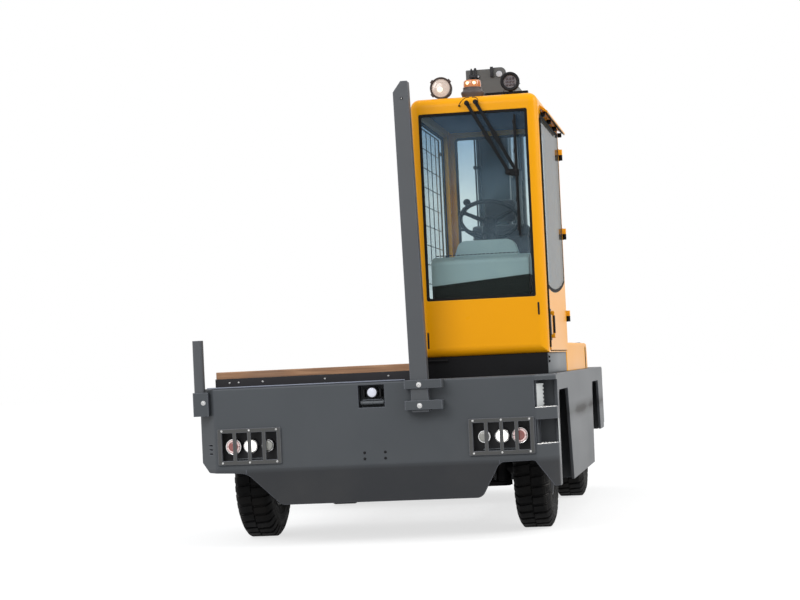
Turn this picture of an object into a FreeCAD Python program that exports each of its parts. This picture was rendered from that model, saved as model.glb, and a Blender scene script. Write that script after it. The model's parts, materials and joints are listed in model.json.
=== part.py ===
"""Side loader forklift: a four-wheel truck that carries long loads along its side.

Frame of the model, in millimetres: +Z up from the ground, -Y the way the truck drives, +X the cab side and
-X the load side. The origin is on the ground under the middle of the truck.

The chassis is a front block and a rear block, joined under an open well. A mast on a sled reaches across the
well on two rails, and the load rests on timber bolsters beside it. A narrow cab stands over the front cab-side
wheel, and the engine lies under a hood behind the well.
"""

import math
import os

import FreeCAD
import Part

V = FreeCAD.Vector
PARTS = "parts"

# ---------------------------------------------------------------- driving dimensions
# Chassis
front_length = 2500.0
rear_length = 2580.0
half_width = 1200.0
deck_top = 1060.0
plate = 20.0
deck_plate = 15.0
corner_chamfer = 127.0
fold_radius = 26.0
corner_return = 200.0
crease_z = 520.0
crease_depth = 45.0
skirt_bottom = 272.0
side_bottom = 300.0
load_side_bottom = 500.0
arch_top = 950.0
arch_half = 487.0

# Well between the two blocks
well_half = 790.0
beam_x = 400.0
beam_width = 120.0
beam_wall = 12.0
low_beam_bottom = 285.0
low_beam_top = 385.0
high_beam_bottom = 560.0
high_beam_top = 760.0

# Wheels and axles
front_axle_y = -1600.0
rear_axle_y = 1420.0
wheel_inset = 235.0
wheel_x = half_width - wheel_inset
tyre_radius = 420.0
tyre_width = 245.0
tyre_lugs = 36
lug_depth = 13.0
rim_radius = 205.0
rim_wall = 12.0
king_pin_offset = 225.0
king_pin_x = wheel_x - king_pin_offset

# Cab
cab_margin = 40.0
cab_width = 850.0
cab_setback = 165.0
cab_overhang = 40.0
cab_floor = 1200.0
cab_top = 2920.0
cab_wall = 50.0
cab_round = 60.0
glass = 8.0
pillar_load = 57.0
pillar_cab = 68.0
window_sill = 372.0
window_head = 105.0
cab_x1 = half_width - cab_margin
cab_x0 = cab_x1 - cab_width
cab_front = -front_length + cab_setback
cab_rear = -well_half + cab_overhang
cab_mid = (cab_x0 + cab_x1) / 2
window_x0 = cab_x0 + pillar_load
window_x1 = cab_x1 - pillar_cab
window_z0 = cab_floor + window_sill
window_z1 = cab_top - window_head

# Mast
mast_inset = 660.0
mast_front = half_width - mast_inset
mast_depth = 240.0
mast_half = 625.0
channel_width = 80.0
channel_wall = 18.0
mast_bottom = 410.0
mast_top = 3340.0
tilt_pivot_x = mast_front + mast_depth / 2
tilt_pivot_z = 480.0
run = 6.0
seat_gap = 0.3
bore_gap = 0.3

# Load bed
bolster_height = 46.0
channel_height = 62.0
channel_plate = 10.0
bolster_x0 = -half_width + 120.0
bolster_x1 = cab_x0 - 10.0


# ---------------------------------------------------------------- small helpers
def box(x0, x1, y0, y1, z0, z1):
    """An upright box between two corners."""
    return Part.makeBox(x1 - x0, y1 - y0, z1 - z0, V(x0, y0, z0))


def rod(start, direction, radius, length):
    return Part.makeCylinder(radius, length, V(*start), V(*direction))


def tube(start, direction, outer, inner, length):
    return rod(start, direction, outer, length).cut(rod(start, direction, inner, length))


def revolved_x(profile, x, y, z):
    """A solid of revolution about the X axis through (x, y, z), from (along, radius) points."""
    points = [V(x + profile[0][0], y, z)]
    points += [V(x + along, y, z + radius) for along, radius in profile]
    points += [V(x + profile[-1][0], y, z), V(x + profile[0][0], y, z)]
    return Part.Face(Part.makePolygon(points)).revolve(V(x, y, z), V(1, 0, 0), 360)


def place(plane, u, v, w):
    """A point from its two outline coordinates and its place along the plane's normal."""
    if plane == "x":
        return V(w, u, v)
    if plane == "y":
        return V(u, w, v)
    return V(u, v, w)


def outline(plane, corners, w):
    """A closed wire through corners (u, v) or (u, v, radius), with an arc where a radius is given."""
    count = len(corners)
    starts, ends, arcs = [], [], []
    for i, corner in enumerate(corners):
        here = place(plane, corner[0], corner[1], w)
        radius = corner[2] if len(corner) > 2 else 0.0
        if radius <= 0:
            starts.append(here)
            ends.append(here)
            arcs.append(None)
            continue
        before = place(plane, *corners[i - 1][:2], w)
        after = place(plane, *corners[(i + 1) % count][:2], w)
        back = (before - here).normalize()
        on = (after - here).normalize()
        half = 0.5 * back.getAngle(on)
        reach = radius / math.tan(half)
        starts.append(here + back * reach)
        ends.append(here + on * reach)
        middle = (back + on).normalize()
        arcs.append(here + middle * (radius / math.sin(half) - radius))
    edges = []
    for i in range(count):
        if arcs[i] is not None:
            edges.append(Part.Arc(starts[i], arcs[i], ends[i]).toShape())
        following = starts[(i + 1) % count]
        if ends[i].distanceToPoint(following) > 1e-6:
            edges.append(Part.LineSegment(ends[i], following).toShape())
    return Part.Wire(edges)


def prism(plane, corners, low, high):
    """An outline pushed from low to high along the plane's normal."""
    face = Part.Face(outline(plane, corners, low))
    return face.extrude(place(plane, 0, 0, high - low))


def fuse(*shapes):
    whole = shapes[0].fuse(list(shapes[1:])) if len(shapes) > 1 else shapes[0]
    return whole.removeSplitter()


def cut(shape, *tools):
    return shape.cut(list(tools))


def polygon_rings(axis_x, y, z, profile, sides):
    """A flat-faced solid of revolution about the X axis, from a closed profile of (along, radius) points."""
    rings = []
    for i in range(sides):
        angle = 2 * math.pi * (i + 0.5) / sides
        rings.append([V(axis_x + u, y + r * math.sin(angle), z - r * math.cos(angle)) for u, r in profile])
    faces = []
    for i in range(sides):
        here, there = rings[i], rings[(i + 1) % sides]
        for k in range(len(profile)):
            following = (k + 1) % len(profile)
            corners = [here[k], here[following], there[following], there[k], here[k]]
            faces.append(Part.Face(Part.makePolygon(corners)))
    return Part.Solid(Part.Shell(faces))


def both_ends(shape):
    """The shape and its mirror image across the middle of the well."""
    return [shape, shape.mirror(V(0, 0, 0), V(0, 1, 0))]


def save(name, *shapes):
    """Writes one node, as one or more separate solids."""
    solids = [solid for shape in shapes for solid in shape.Solids]
    for solid in solids:
        if not solid.isValid():
            print("not valid:", name)
    Part.makeCompound(solids).exportStep(os.path.join(PARTS, name + ".step"))


def fillet_where(shape, radius, wanted):
    """Rounds the edges for which wanted(edge) holds."""
    edges = [e for e in shape.Edges if wanted(e)]
    return shape.makeFillet(radius, edges)


# ---------------------------------------------------------------- chassis
lamp_x = half_width - 360.0
lamp_z = 670.0
guard_width = 430.0
guard_height = 240.0
guard_frame = 28.0
guard_plate = 12.0
guard_bars = 3
guard_bar = 24.0
sensor_x0 = -95.0
sensor_x1 = 80.0
sensor_z0 = 893.0
sensor_z1 = 1040.0
step_face_x = half_width - 136.0
step_depth = 220.0
step_levels = ((608.0, 767.0), (845.0, 1022.0))
plate_holes_x = 0.0
plate_holes_z = 577.0
plate_holes_w = 138.0
plate_holes_h = 40.0
plate_hole_radius = 6.0
corner_slots = 3
skirt_load_x = -half_width + 330.0
skirt_cab_x = half_width - 382.0
skirt_toe = 550.0


def end_corners(length, inset, radius):
    """The two folds of an end plate's cab-side corner, drawn in by inset, from the side to the middle."""
    step = inset * (math.sqrt(2) - 1)
    return [
        (half_width - inset, -(length - corner_chamfer - step), radius),
        (half_width - corner_chamfer - step, -(length - inset), radius),
    ]


def end_plan(length, inset, radius, back):
    """The plan of an end block, drawn in by inset, as far back as y = back."""
    folds = end_corners(length, inset, radius)
    other = [(-x, y, r) for x, y, r in reversed(folds)]
    x = half_width - inset
    return [(x, back)] + folds + other + [(-x, back)]


def end_shell(length, bottom, top=deck_top):
    """The bent plate across an end of the truck: face, two chamfered corners and short side returns."""
    back = -(length - corner_return)
    outer = end_plan(length, 0.0, fold_radius, back)
    inner = end_plan(length, plate, fold_radius - plate, back)
    return prism("z", outer + inner[::-1], bottom, top)


def across(corners, length):
    """A block through an end plate, drawn in the front view."""
    return prism("y", corners, -length - 60.0, -(length - corner_return) + 60.0)


def below(corners, length):
    """What is cut away below a bottom edge, given as (x, z) corners from the load side to the cab side."""
    deep = [(corners[-1][0], -100.0), (corners[0][0], -100.0)]
    return across(list(corners) + deep, length)


def lamp_window(x):
    half = guard_width / 2 - guard_frame
    high = guard_height / 2 - guard_frame
    return box(x - half, x + half, -front_length - 5, -front_length + plate + 5, lamp_z - high,
               lamp_z + high)


def front_skirt(outline_corners):
    """The middle of the front plate below its crease, which slopes back to the bottom edge."""
    slope = crease_depth / (crease_z - skirt_bottom)
    low = skirt_bottom - 20.0
    y0, y1 = -front_length, -front_length + slope * (crease_z - low)
    bent = prism(
        "x",
        [(y0, crease_z), (y1, low), (y1 + plate, low), (y0 + plate, crease_z)],
        skirt_load_x,
        skirt_cab_x,
    )
    return bent.cut(below(outline_corners, front_length))


def corner_slot_cuts():
    """The small stacked slots in the load-side corner of the front plate."""
    middle = V(-half_width + corner_chamfer / 2 + 22, -front_length + corner_chamfer / 2 - 22, 0)
    cuts = []
    for i in range(corner_slots):
        slot = box(-22, 22, -40, 40, 0, 9)
        slot.rotate(V(0, 0, 0), V(0, 0, 1), -45)
        slot.translate(middle + V(0, 0, lamp_z - 48 + i * 28.0))
        cuts.append(slot)
    return cuts


def front_panel():
    bottom_edge = (
        (-half_width - 100, 570),
        (-half_width, 570),
        (-half_width + 64, 500, 20),
        (skirt_load_x, 490, 110),
        (-half_width + skirt_toe, skirt_bottom, 60),
        (half_width - skirt_toe + 40, skirt_bottom, 60),
        (skirt_cab_x, 500, 60),
        (half_width - 150, 505, 30),
        (half_width - 35, 330),
        (half_width + 100, 330),
    )
    shell = cut(end_shell(front_length, skirt_bottom - 10), below(bottom_edge, front_length))
    shell = shell.cut(box(skirt_load_x, skirt_cab_x, -front_length - 5, -front_length + 80, 0, crease_z))
    shell = shell.fuse(front_skirt(bottom_edge)).removeSplitter()
    shell = fillet_where(shell, 14.0,
                         lambda e: e.BoundBox.ZMin > deck_top - 1 and on_outer_rim(e, front_length))
    openings = [lamp_window(-lamp_x), lamp_window(lamp_x)]
    openings.append(box(sensor_x0, sensor_x1, -front_length - 5, -front_length + plate + 5, sensor_z0,
                        sensor_z1))
    for low, high in step_levels:
        openings.append(
            box(step_face_x, half_width + 5, -front_length - 5, -front_length + step_depth, low, high)
        )
    for x in (plate_holes_x - plate_holes_w / 2, plate_holes_x + plate_holes_w / 2):
        for z in (plate_holes_z - plate_holes_h / 2, plate_holes_z + plate_holes_h / 2):
            openings.append(rod((x, -front_length - 5, z), (0, 1, 0), plate_hole_radius, plate + 10))
    return cut(shell, *openings, *corner_slot_cuts())


def on_outer_rim(edge, length):
    """True for the outer top edge of a bent end plate."""
    middle = edge.valueAt((edge.FirstParameter + edge.LastParameter) / 2)
    x, y = abs(middle.x), abs(middle.y)
    on_face = y > length - 1
    on_side = x > half_width - 1 and edge.BoundBox.YLength > 1
    on_chamfer = x + y > half_width + length - corner_chamfer - 9
    return on_face or on_side or on_chamfer


tail_x = half_width - 270.0 - 16.0
tail_z = 800.0
tail_width = 260.0
tail_height = 120.0
grille_x = (470.0, 800.0)
grille_z = 640.0
grille_pitch = 44.0
grille_slot = 22.0
grille_slots = 7


def rear_panel():
    bottom_edge = (
        (-half_width - 100, 570),
        (-half_width, 570),
        (-half_width + 64, 510, 20),
        (-half_width + 400, 510, 60),
        (-half_width + 550, 400, 60),
        (half_width - 550, 400, 60),
        (half_width - 400, 510, 60),
        (half_width - 64, 510, 20),
        (half_width, 570),
        (half_width + 100, 570),
    )
    shell = cut(end_shell(rear_length, 380.0), below(bottom_edge, rear_length))
    shell = fillet_where(shell, 14.0,
                         lambda e: e.BoundBox.ZMin > deck_top - 1 and on_outer_rim(e, rear_length))
    shell = shell.mirror(V(0, 0, 0), V(0, 1, 0))
    openings = []
    for x in (-tail_x, tail_x):
        openings.append(
            box(
                x - tail_width / 2,
                x + tail_width / 2,
                rear_length - plate - 5,
                rear_length + 5,
                tail_z - tail_height / 2,
                tail_z + tail_height / 2,
            )
        )
    half = grille_slot / 2
    for i in range(grille_slots):
        z = grille_z + i * grille_pitch
        slot = [(grille_x[0], z, half - 0.1), (grille_x[1], z, half - 0.1)]
        slot += [(x, z + grille_slot, half - 0.1) for x, _, _ in reversed(slot)]
        openings.append(prism("y", slot, rear_length - plate - 5, rear_length + 5))
    return cut(shell, *openings)


def side_panels():
    """The long cab-side plate with its two arches, and the two short load-side plates beside the well."""
    front_end = -front_length + corner_return
    rear_end = rear_length - corner_return
    front_y0, front_y1 = front_axle_y - arch_half - 113.0, front_axle_y + arch_half - 112.0
    rear_y0, rear_y1 = rear_axle_y - arch_half + 67.0, rear_axle_y + arch_half - 7.0
    cab_side = [
        (front_end, deck_top),
        (front_end, 330),
        (front_end + 60, 330),
        (front_y0, arch_top, 60),
        (front_y1 - 205, arch_top, 60),
        (front_y1, side_bottom),
        (rear_y0 - 30, side_bottom),
        (rear_y0 + 90, arch_top, 60),
        (rear_y1 - 60, arch_top, 60),
        (rear_y1 + 50, 530),
        (rear_end, 530),
        (rear_end, deck_top),
    ]
    load_front = [
        (front_end, deck_top),
        (front_end, 570),
        (front_y0 - 30, 570),
        (front_y0 + 60, arch_top - 30, 60),
        (front_y1 - 180, arch_top - 30, 60),
        (front_y1 + 40, load_side_bottom),
        (-well_half - plate, load_side_bottom),
        (-well_half - plate, deck_top),
    ]
    load_rear = [
        (well_half + plate, deck_top),
        (well_half + plate, load_side_bottom),
        (rear_y0 - 30, load_side_bottom),
        (rear_y0 + 90, arch_top - 30, 60),
        (rear_y1 - 60, arch_top - 30, 60),
        (rear_y1 + 50, 570),
        (rear_end, 570),
        (rear_end, deck_top),
    ]
    return [
        prism("x", cab_side, half_width - plate, half_width),
        prism("x", load_front, -half_width, -half_width + plate),
        prism("x", load_rear, -half_width, -half_width + plate),
    ]


hood_side_gap = 360.0
hood_width = 480.0
hood_front_gap = 90.0
hood_rear_gap = 170.0
hood_height = 540.0
hood_x1 = half_width - hood_side_gap
hood_x0 = hood_x1 - hood_width
hood_y0 = well_half + hood_front_gap
hood_y1 = rear_length - hood_rear_gap
hood_top = deck_top + hood_height
hood_nose = 260.0
hood_drop = 330.0
hood_wall = 15.0
hood_lip = 40.0
louvre_rows = 5


def decks():
    """The top plates of the two blocks. The rear one is open over the engine."""
    inner = fold_radius - plate
    front = prism("z", end_plan(front_length, plate, inner, -well_half - plate), deck_top - deck_plate,
                  deck_top)
    rear = prism("z", end_plan(rear_length, plate, inner, -well_half - plate), deck_top - deck_plate,
                 deck_top)
    rear = rear.mirror(V(0, 0, 0), V(0, 1, 0))
    bay = box(
        hood_x0 + hood_lip,
        hood_x1 - hood_lip,
        hood_y0 + hood_lip,
        hood_y1 - hood_lip,
        deck_top - deck_plate - 5,
        deck_top + 5,
    )
    return [front, rear.cut(bay)]


def bulkheads():
    """The upright walls on both sides of the well."""
    x = half_width - plate
    wall = box(-x, x, -well_half - plate, -well_half, low_beam_bottom, deck_top)
    return both_ends(wall)


def main_beams():
    """Two low beams under the well, and a pair of higher beams through each block."""
    solids = []
    for x in (-beam_x, beam_x):
        x0, x1 = x - beam_width / 2, x + beam_width / 2
        solids.append(hollow_beam(x0, x1, -well_half, well_half, low_beam_bottom, low_beam_top))
        solids.append(
            hollow_beam(x0, x1, -front_length + plate, -well_half - plate, high_beam_bottom, high_beam_top)
        )
        solids.append(
            hollow_beam(x0, x1, well_half + plate, rear_length - plate, high_beam_bottom, high_beam_top)
        )
    bearers = [
        box(beam_x + beam_width / 2 - 1, engine_x1, y, y + 70, high_beam_top - 60, high_beam_top)
        for y in (engine_y0 + 60, engine_y1 - 130)
    ]
    solids[-1] = fuse(solids[-1], *bearers)
    return solids


def hollow_beam(x0, x1, y0, y1, z0, z1):
    wall = beam_wall
    return box(x0, x1, y0, y1, z0, z1).cut(box(x0 + wall, x1 - wall, y0 - 1, y1 + 1, z0 + wall, z1 - wall))


rail_depth = 100.0
rail_wall = 18.0
roller_radius = 53.0
rail_gap = 8.0


def reach_rails():
    """Two channels across the well, open towards its middle, in which the sled's rollers run."""
    z0 = tilt_pivot_z - roller_radius - seat_gap - rail_wall
    z1 = tilt_pivot_z + roller_radius + rail_gap + rail_wall
    x0 = -half_width + plate + 5.0
    x1 = tank_x0 - 5.0
    outer = box(x0, x1, -well_half, -well_half + rail_depth, z0, z1)
    inside = box(x0 - 1, x1 + 1, -well_half + rail_wall, -well_half + rail_depth + 1, z0 + rail_wall,
                 z1 - rail_wall)
    rail = outer.cut(inside)
    feet = [
        box(
            bx - beam_width / 2,
            bx + beam_width / 2,
            -well_half,
            -well_half + rail_depth - 10,
            low_beam_top,
            z0,
        )
        for bx in (-beam_x, beam_x)
    ]
    return both_ends(fuse(rail, *feet))


tank_x0 = half_width - 190.0


def side_tank():
    """The hydraulic tank between the wheels, inside the long side plate."""
    tank = box(tank_x0, half_width - plate, -well_half, well_half, 330.0, deck_top)
    return fillet_where(tank, 20.0, lambda e: e.BoundBox.YLength > 1000 and e.BoundBox.XMin < tank_x0 + 1)


fairing_top = deck_top + 210.0
fairing_x1 = half_width - 50.0
fairing_y0 = cab_rear + 15.0
fairing_y1 = rear_axle_y - 10.0
fairing_seam = 260.0


def side_fairing():
    """The low cover over the tank beside the mast: a long box, and a rear lid with a sloped end."""
    seam = fairing_y1 - fairing_seam
    side = [
        (fairing_y0, deck_top),
        (fairing_y0, fairing_top, 15),
        (seam - 3, fairing_top),
        (seam - 3, deck_top),
    ]
    lid = [
        (seam + 3, deck_top),
        (seam + 3, fairing_top),
        (fairing_y1 - 60, fairing_top, 70),
        (fairing_y1, deck_top),
    ]
    solids = []
    for corners in (side, lid):
        body = prism("x", corners, tank_x0 - 5, fairing_x1)
        solids.append(
            fillet_where(body, 18.0,
                         lambda e: e.BoundBox.YLength > 100 and e.BoundBox.ZMin > fairing_top - 1)
        )
    return solids


# ---------------------------------------------------------------- load bed and posts
bolster_width = 110.0
bolster_end_gap = 120.0
bolster_well_gap = 140.0


def bolster_rows():
    """Where the four bolsters start along the truck."""
    return (
        -front_length + bolster_end_gap,
        -well_half - bolster_well_gap,
        well_half + bolster_well_gap - bolster_width,
        rear_length - bolster_end_gap - bolster_width,
    )


def bolster_channels():
    rows = []
    wall = channel_plate
    for y in bolster_rows():
        outer = box(bolster_x0 - 5, bolster_x1, y, y + bolster_width, deck_top, deck_top + channel_height)
        inner = box(
            bolster_x0 - 6,
            bolster_x1 + 1,
            y + wall,
            y + bolster_width - wall,
            deck_top + wall,
            deck_top + channel_height + 1,
        )
        rows.append(outer.cut(inner))
    return rows


def wood_bolsters():
    rows = []
    wall = channel_plate
    for y in bolster_rows():
        section = [
            (y + wall, deck_top + wall),
            (y + bolster_width - wall, deck_top + wall),
            (y + bolster_width - wall, deck_top + channel_height + bolster_height, 6),
            (y + wall, deck_top + channel_height + bolster_height, 6),
        ]
        rows.append(prism("x", section, bolster_x0, bolster_x1 - 2))
    return rows


post_x0 = 270.0
post_width = 115.0
post_lean = 28.0
post_taper = 16.0
post_depth = 78.0
post_wall = 8.0
post_bottom = 850.0
post_top = 3015.0
strap_x0 = post_x0 - 44.0
strap_x1 = post_x0 + post_width + 89.0
strap_plate = 12.0
strap_levels = ((866.0, 926.0), (1004.0, 1060.0))
short_post_x0 = -half_width - 5.0
short_post_width = 68.0
short_post_depth = 60.0
short_post_bottom = 895.0
short_post_top = 1385.0
bracket_z0 = 880.0
bracket_z1 = 1038.0
bracket_side = 13.0
bracket_face = 10.0
bracket_width = 92.0
bracket_length = 100.0


def load_posts():
    """The tall leaning post that keeps a load off the cab, and the short one at the load-side corner."""
    back = -front_length - seat_gap
    front = back - post_depth
    top_x0 = post_x0 - post_lean
    top_x1 = top_x0 + post_width - post_taper
    face = [
        (post_x0, post_bottom, 8),
        (post_x0 + post_width, post_bottom, 8),
        (top_x1, post_top, 6),
        (top_x1 - 46, post_top),
        (top_x0, post_top - 72),
    ]
    tall = prism("y", face, front, back)
    top_in = post_top - 90.0
    lean = post_lean * (top_in - post_bottom) / (post_top - post_bottom)
    narrow = (post_lean + post_taper) * (top_in - post_bottom) / (post_top - post_bottom)
    inside = [
        (post_x0 + post_wall, post_bottom - 1),
        (post_x0 + post_width - post_wall, post_bottom - 1),
        (post_x0 + post_width - narrow - post_wall, top_in),
        (post_x0 - lean + post_wall, top_in),
    ]
    hole = rod((top_x0 + 56, front - 1, post_top - 114), (0, 1, 0), 7.0, post_wall + 3)
    tall = tall.cut([prism("y", inside, front + post_wall, back - post_wall), hole])
    y0, y1 = short_post_y()
    x0, x1 = short_post_x0, short_post_x0 + short_post_width
    section = [(x0, y0, 20), (x1, y0, 20), (x1, y1, 20), (x0, y1, 20)]
    short = prism("z", section, short_post_bottom, short_post_top)
    bore = [(x0 + 7, y0 + 7, 13), (x1 - 7, y0 + 7, 13), (x1 - 7, y1 - 7, 13), (x0 + 7, y1 - 7, 13)]
    short = short.cut(prism("z", bore, short_post_bottom + 30, short_post_top + 1))
    return [tall, short]


def short_post_y():
    """The short post stands in the open corner in front of the chamfer."""
    return (-front_length - 2.0, -front_length - 2.0 + short_post_depth)


def post_brackets():
    """Two straps round the tall post, and the socket of the short one on the corner's chamfer."""
    solids = []
    for low, high in strap_levels:
        front = -front_length - post_depth - 2.0 - strap_plate
        outer = prism(
            "z",
            [
                (strap_x0, -front_length),
                (strap_x0, front, 6),
                (strap_x1, front, 6),
                (strap_x1, -front_length),
            ],
            low,
            high,
        )
        inner = box(
            strap_x0 + strap_plate,
            strap_x1 - strap_plate,
            front + strap_plate,
            -front_length + 1,
            low - 1,
            high + 1,
        )
        solids.append(outer.cut(inner))
    y0, y1 = short_post_y()
    x_out, y_out = -half_width - bracket_side, -front_length - bracket_face
    x_in, y_in = -half_width + bracket_width, -front_length + bracket_length
    socket = prism(
        "z",
        [
            (x_out, y_out, 8),
            (x_in, y_out),
            (x_in, -front_length + corner_chamfer - bracket_width),
            (-half_width + corner_chamfer - bracket_length, y_in),
            (x_out, y_in),
        ],
        bracket_z0,
        bracket_z1,
    )
    pocket = box(
        short_post_x0 - 1,
        short_post_x0 + short_post_width + 1,
        y0 - 1,
        y1 + 1,
        short_post_bottom,
        bracket_z1 + 1,
    )
    solids.append(socket.cut(pocket))
    return solids


# ---------------------------------------------------------------- lamps and front fittings
lamp_pitch = 117.0
lamp_radii = (40.0, 46.0, 52.0)
lamp_depth = 70.0
lamp_dish = 10.0


def lamp_guards():
    """A bolted frame with upright bars over each front lamp window."""
    guards = []
    for x in (-lamp_x, lamp_x):
        x0, x1 = x - guard_width / 2, x + guard_width / 2
        z0, z1 = lamp_z - guard_height / 2, lamp_z + guard_height / 2
        y0, y1 = -front_length - guard_plate, -front_length
        frame = prism("y", [(x0, z0, 8), (x1, z0, 8), (x1, z1, 8), (x0, z1, 8)], y0, y1)
        open_x0, open_x1 = x0 + guard_frame, x1 - guard_frame
        gap = (open_x1 - open_x0 - guard_bars * guard_bar) / (guard_bars + 1)
        for i in range(guard_bars + 1):
            start = open_x0 + i * (gap + guard_bar)
            frame = frame.cut(box(start, start + gap, y0 - 1, y1 + 1, z0 + guard_frame, z1 - guard_frame))
        guards.append(frame)
    return guards


def head_lamps():
    """Three round lamps with dished faces behind each guard, on a plate fixed behind the front panel."""
    rows = []
    back = -front_length + plate
    for side in (-1, 1):
        x0, x1 = side * lamp_x - guard_width / 2, side * lamp_x + guard_width / 2
        carrier = box(x0, x1, back + lamp_depth, back + lamp_depth + 6, lamp_z - 120, lamp_z + 120)
        arms = [box(x, x + 6, back, back + lamp_depth, lamp_z - 60, lamp_z + 60) for x in (x0, x1 - 6)]
        lamps = []
        for i, radius in enumerate(lamp_radii):
            x = side * (lamp_x + (i - 1) * lamp_pitch)
            lamp = rod((x, back + 5, lamp_z), (0, 1, 0), radius, lamp_depth - 5)
            dish = Part.makeCone(radius - 6, radius - 22, lamp_dish, V(x, back + 4, lamp_z), V(0, 1, 0))
            lamps.append(lamp.cut(dish))
        rows.append(fuse(carrier, *arms, *lamps))
    return rows


def tail_lamps():
    lamps = []
    for x in (-tail_x, tail_x):
        body = prism(
            "y",
            [
                (x - tail_width / 2 + 4, tail_z - tail_height / 2 + 4, 14),
                (x + tail_width / 2 - 4, tail_z - tail_height / 2 + 4, 14),
                (x + tail_width / 2 - 4, tail_z + tail_height / 2 - 4, 14),
                (x - tail_width / 2 + 4, tail_z + tail_height / 2 - 4, 14),
            ],
            rear_length - 50,
            rear_length - 6,
        )
        flange = box(
            x - tail_width / 2 - 14,
            x + tail_width / 2 + 14,
            rear_length - plate - 4,
            rear_length - plate,
            tail_z - tail_height / 2 - 14,
            tail_z + tail_height / 2 + 14,
        )
        lamps.append(fuse(body, flange))
    return lamps


sensor_depth = 90.0
sensor_wall = 4.0


def front_sensor():
    """A round work lamp in a box let into the front panel."""
    back = -front_length + plate
    outer = box(
        sensor_x0 - sensor_wall,
        sensor_x1 + sensor_wall,
        back,
        back + sensor_depth,
        sensor_z0 - sensor_wall,
        sensor_z1 + sensor_wall,
    )
    inner = box(sensor_x0, sensor_x1, back - 1, back + sensor_depth - sensor_wall, sensor_z0, sensor_z1)
    middle_x = (sensor_x0 + sensor_x1) / 2
    lamp_height = sensor_z1 - 50.0
    lamp = rod((middle_x, back + 10, lamp_height), (0, 1, 0), 38.0, sensor_depth - 10)
    lamp = lamp.cut(Part.makeCone(32.0, 20.0, 14.0, V(middle_x, back + 9, lamp_height), V(0, 1, 0)))
    shelf = box(sensor_x0 + 25, sensor_x1 - 25, back + 4, back + sensor_depth - 2, sensor_z0 + 46,
                sensor_z0 + 52)
    return fuse(outer.cut(inner), lamp, shelf)


def steps():
    """The two foot pockets in the cab-side front corner: each a bent tread with walls behind it."""
    solids = []
    inset = plate + 1.0
    y_back = -front_length + step_depth
    fold = end_corners(front_length, inset, 60.0)[0]
    tread = [(half_width - inset, y_back), fold, (step_face_x, -front_length + inset),
             (step_face_x, y_back)]
    for low, high in step_levels:
        floor = prism("z", tread, low - 14, low)
        roof = prism("z", tread, high, high + 10)
        wall_side = box(step_face_x, step_face_x + 10, -front_length + inset + 11, y_back, low - 14,
                        high + 10)
        wall_back = box(step_face_x, half_width - inset, y_back, y_back + 10, low - 14, high + 10)
        solids.append(fuse(floor, roof, wall_side, wall_back))
    return solids


tow_depth = 62.0


def tow_coupling():
    """A pin coupling at the middle of the rear panel."""
    y0 = rear_length
    body = [(-70, 560, 20), (70, 560, 20), (70, 720, 20), (-70, 720, 20)]
    block = prism("y", body, y0, y0 + tow_depth)
    mouth = box(-75, 75, y0 + 18, y0 + tow_depth + 1, 610, 670)
    pin_y = y0 + tow_depth - 26
    bore = rod((0, pin_y, 540), (0, 0, 1), tow_pin_radius + 0.5, 200)
    pin = rod((0, pin_y, 548), (0, 0, 1), tow_pin_radius, 190)
    knob = rod((0, pin_y, 738), (0, 0, 1), tow_pin_radius + 8, 14)
    return [cut(block, mouth, bore), fuse(pin, knob)]


tow_pin_radius = 14.0


# ---------------------------------------------------------------- axles and wheels
axle_z = tyre_radius
yoke_gap = 190.0
diff_x = 90.0
steer_arm = 150.0
tie_offset = 13.0


def axles():
    """The steered front axle, a beam with a yoke at each end, and the rigid drive axle at the back."""
    beam = box(-king_pin_x + 70, king_pin_x - 70, front_axle_y - 60, front_axle_y + 60, axle_z - 60,
               axle_z + 60)
    parts = [beam]
    for side in (-1, 1):
        x = side * king_pin_x
        for z0 in (axle_z - yoke_gap / 2 - 30, axle_z + yoke_gap / 2):
            arm = prism(
                "z",
                [
                    (side * (king_pin_x - 110), front_axle_y - 55),
                    (side * (king_pin_x + 45), front_axle_y - 45, 40),
                    (side * (king_pin_x + 45), front_axle_y + 45, 40),
                    (side * (king_pin_x - 110), front_axle_y + 55),
                ],
                z0,
                z0 + 30,
            )
            parts.append(arm)
        web = box(
            min(side * (king_pin_x - 110), side * (king_pin_x - 74)),
            max(side * (king_pin_x - 110), side * (king_pin_x - 74)),
            front_axle_y - 36,
            front_axle_y + 36,
            axle_z - yoke_gap / 2 - 30,
            axle_z + yoke_gap / 2 + 30,
        )
        parts.append(web)
        parts.append(rod((x, front_axle_y, axle_z - yoke_gap / 2 - 30), (0, 0, 1), king_pin_radius,
                         yoke_gap + 60))
    for x in (-beam_x, beam_x):
        parts.append(box(x - 55, x + 55, front_axle_y - 70, front_axle_y + 70, axle_z + 40,
                         high_beam_bottom))
    front = fuse(*parts)

    hub_inner = wheel_x - 110.0
    housing = rod((-hub_inner, rear_axle_y, axle_z), (1, 0, 0), 75.0, 2 * hub_inner)
    bowl = revolved_x(
        [(-110, 70), (-80, 118), (-30, 150), (60, 150), (130, 118), (165, 70)], diff_x, rear_axle_y, axle_z
    )
    mounts = [
        box(x - 55, x + 55, rear_axle_y - 75, rear_axle_y + 75, axle_z + 40, high_beam_bottom)
        for x in (-beam_x, beam_x)
    ]
    stubs = [
        rod((side * (hub_inner - 1), rear_axle_y, axle_z), (side, 0, 0), spindle_radius,
            110.0) for side in (-1, 1)
    ]
    rear = fuse(housing, bowl, *mounts, *stubs)
    return [front, rear]


king_pin_radius = 22.0
spindle_radius = 45.0


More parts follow.
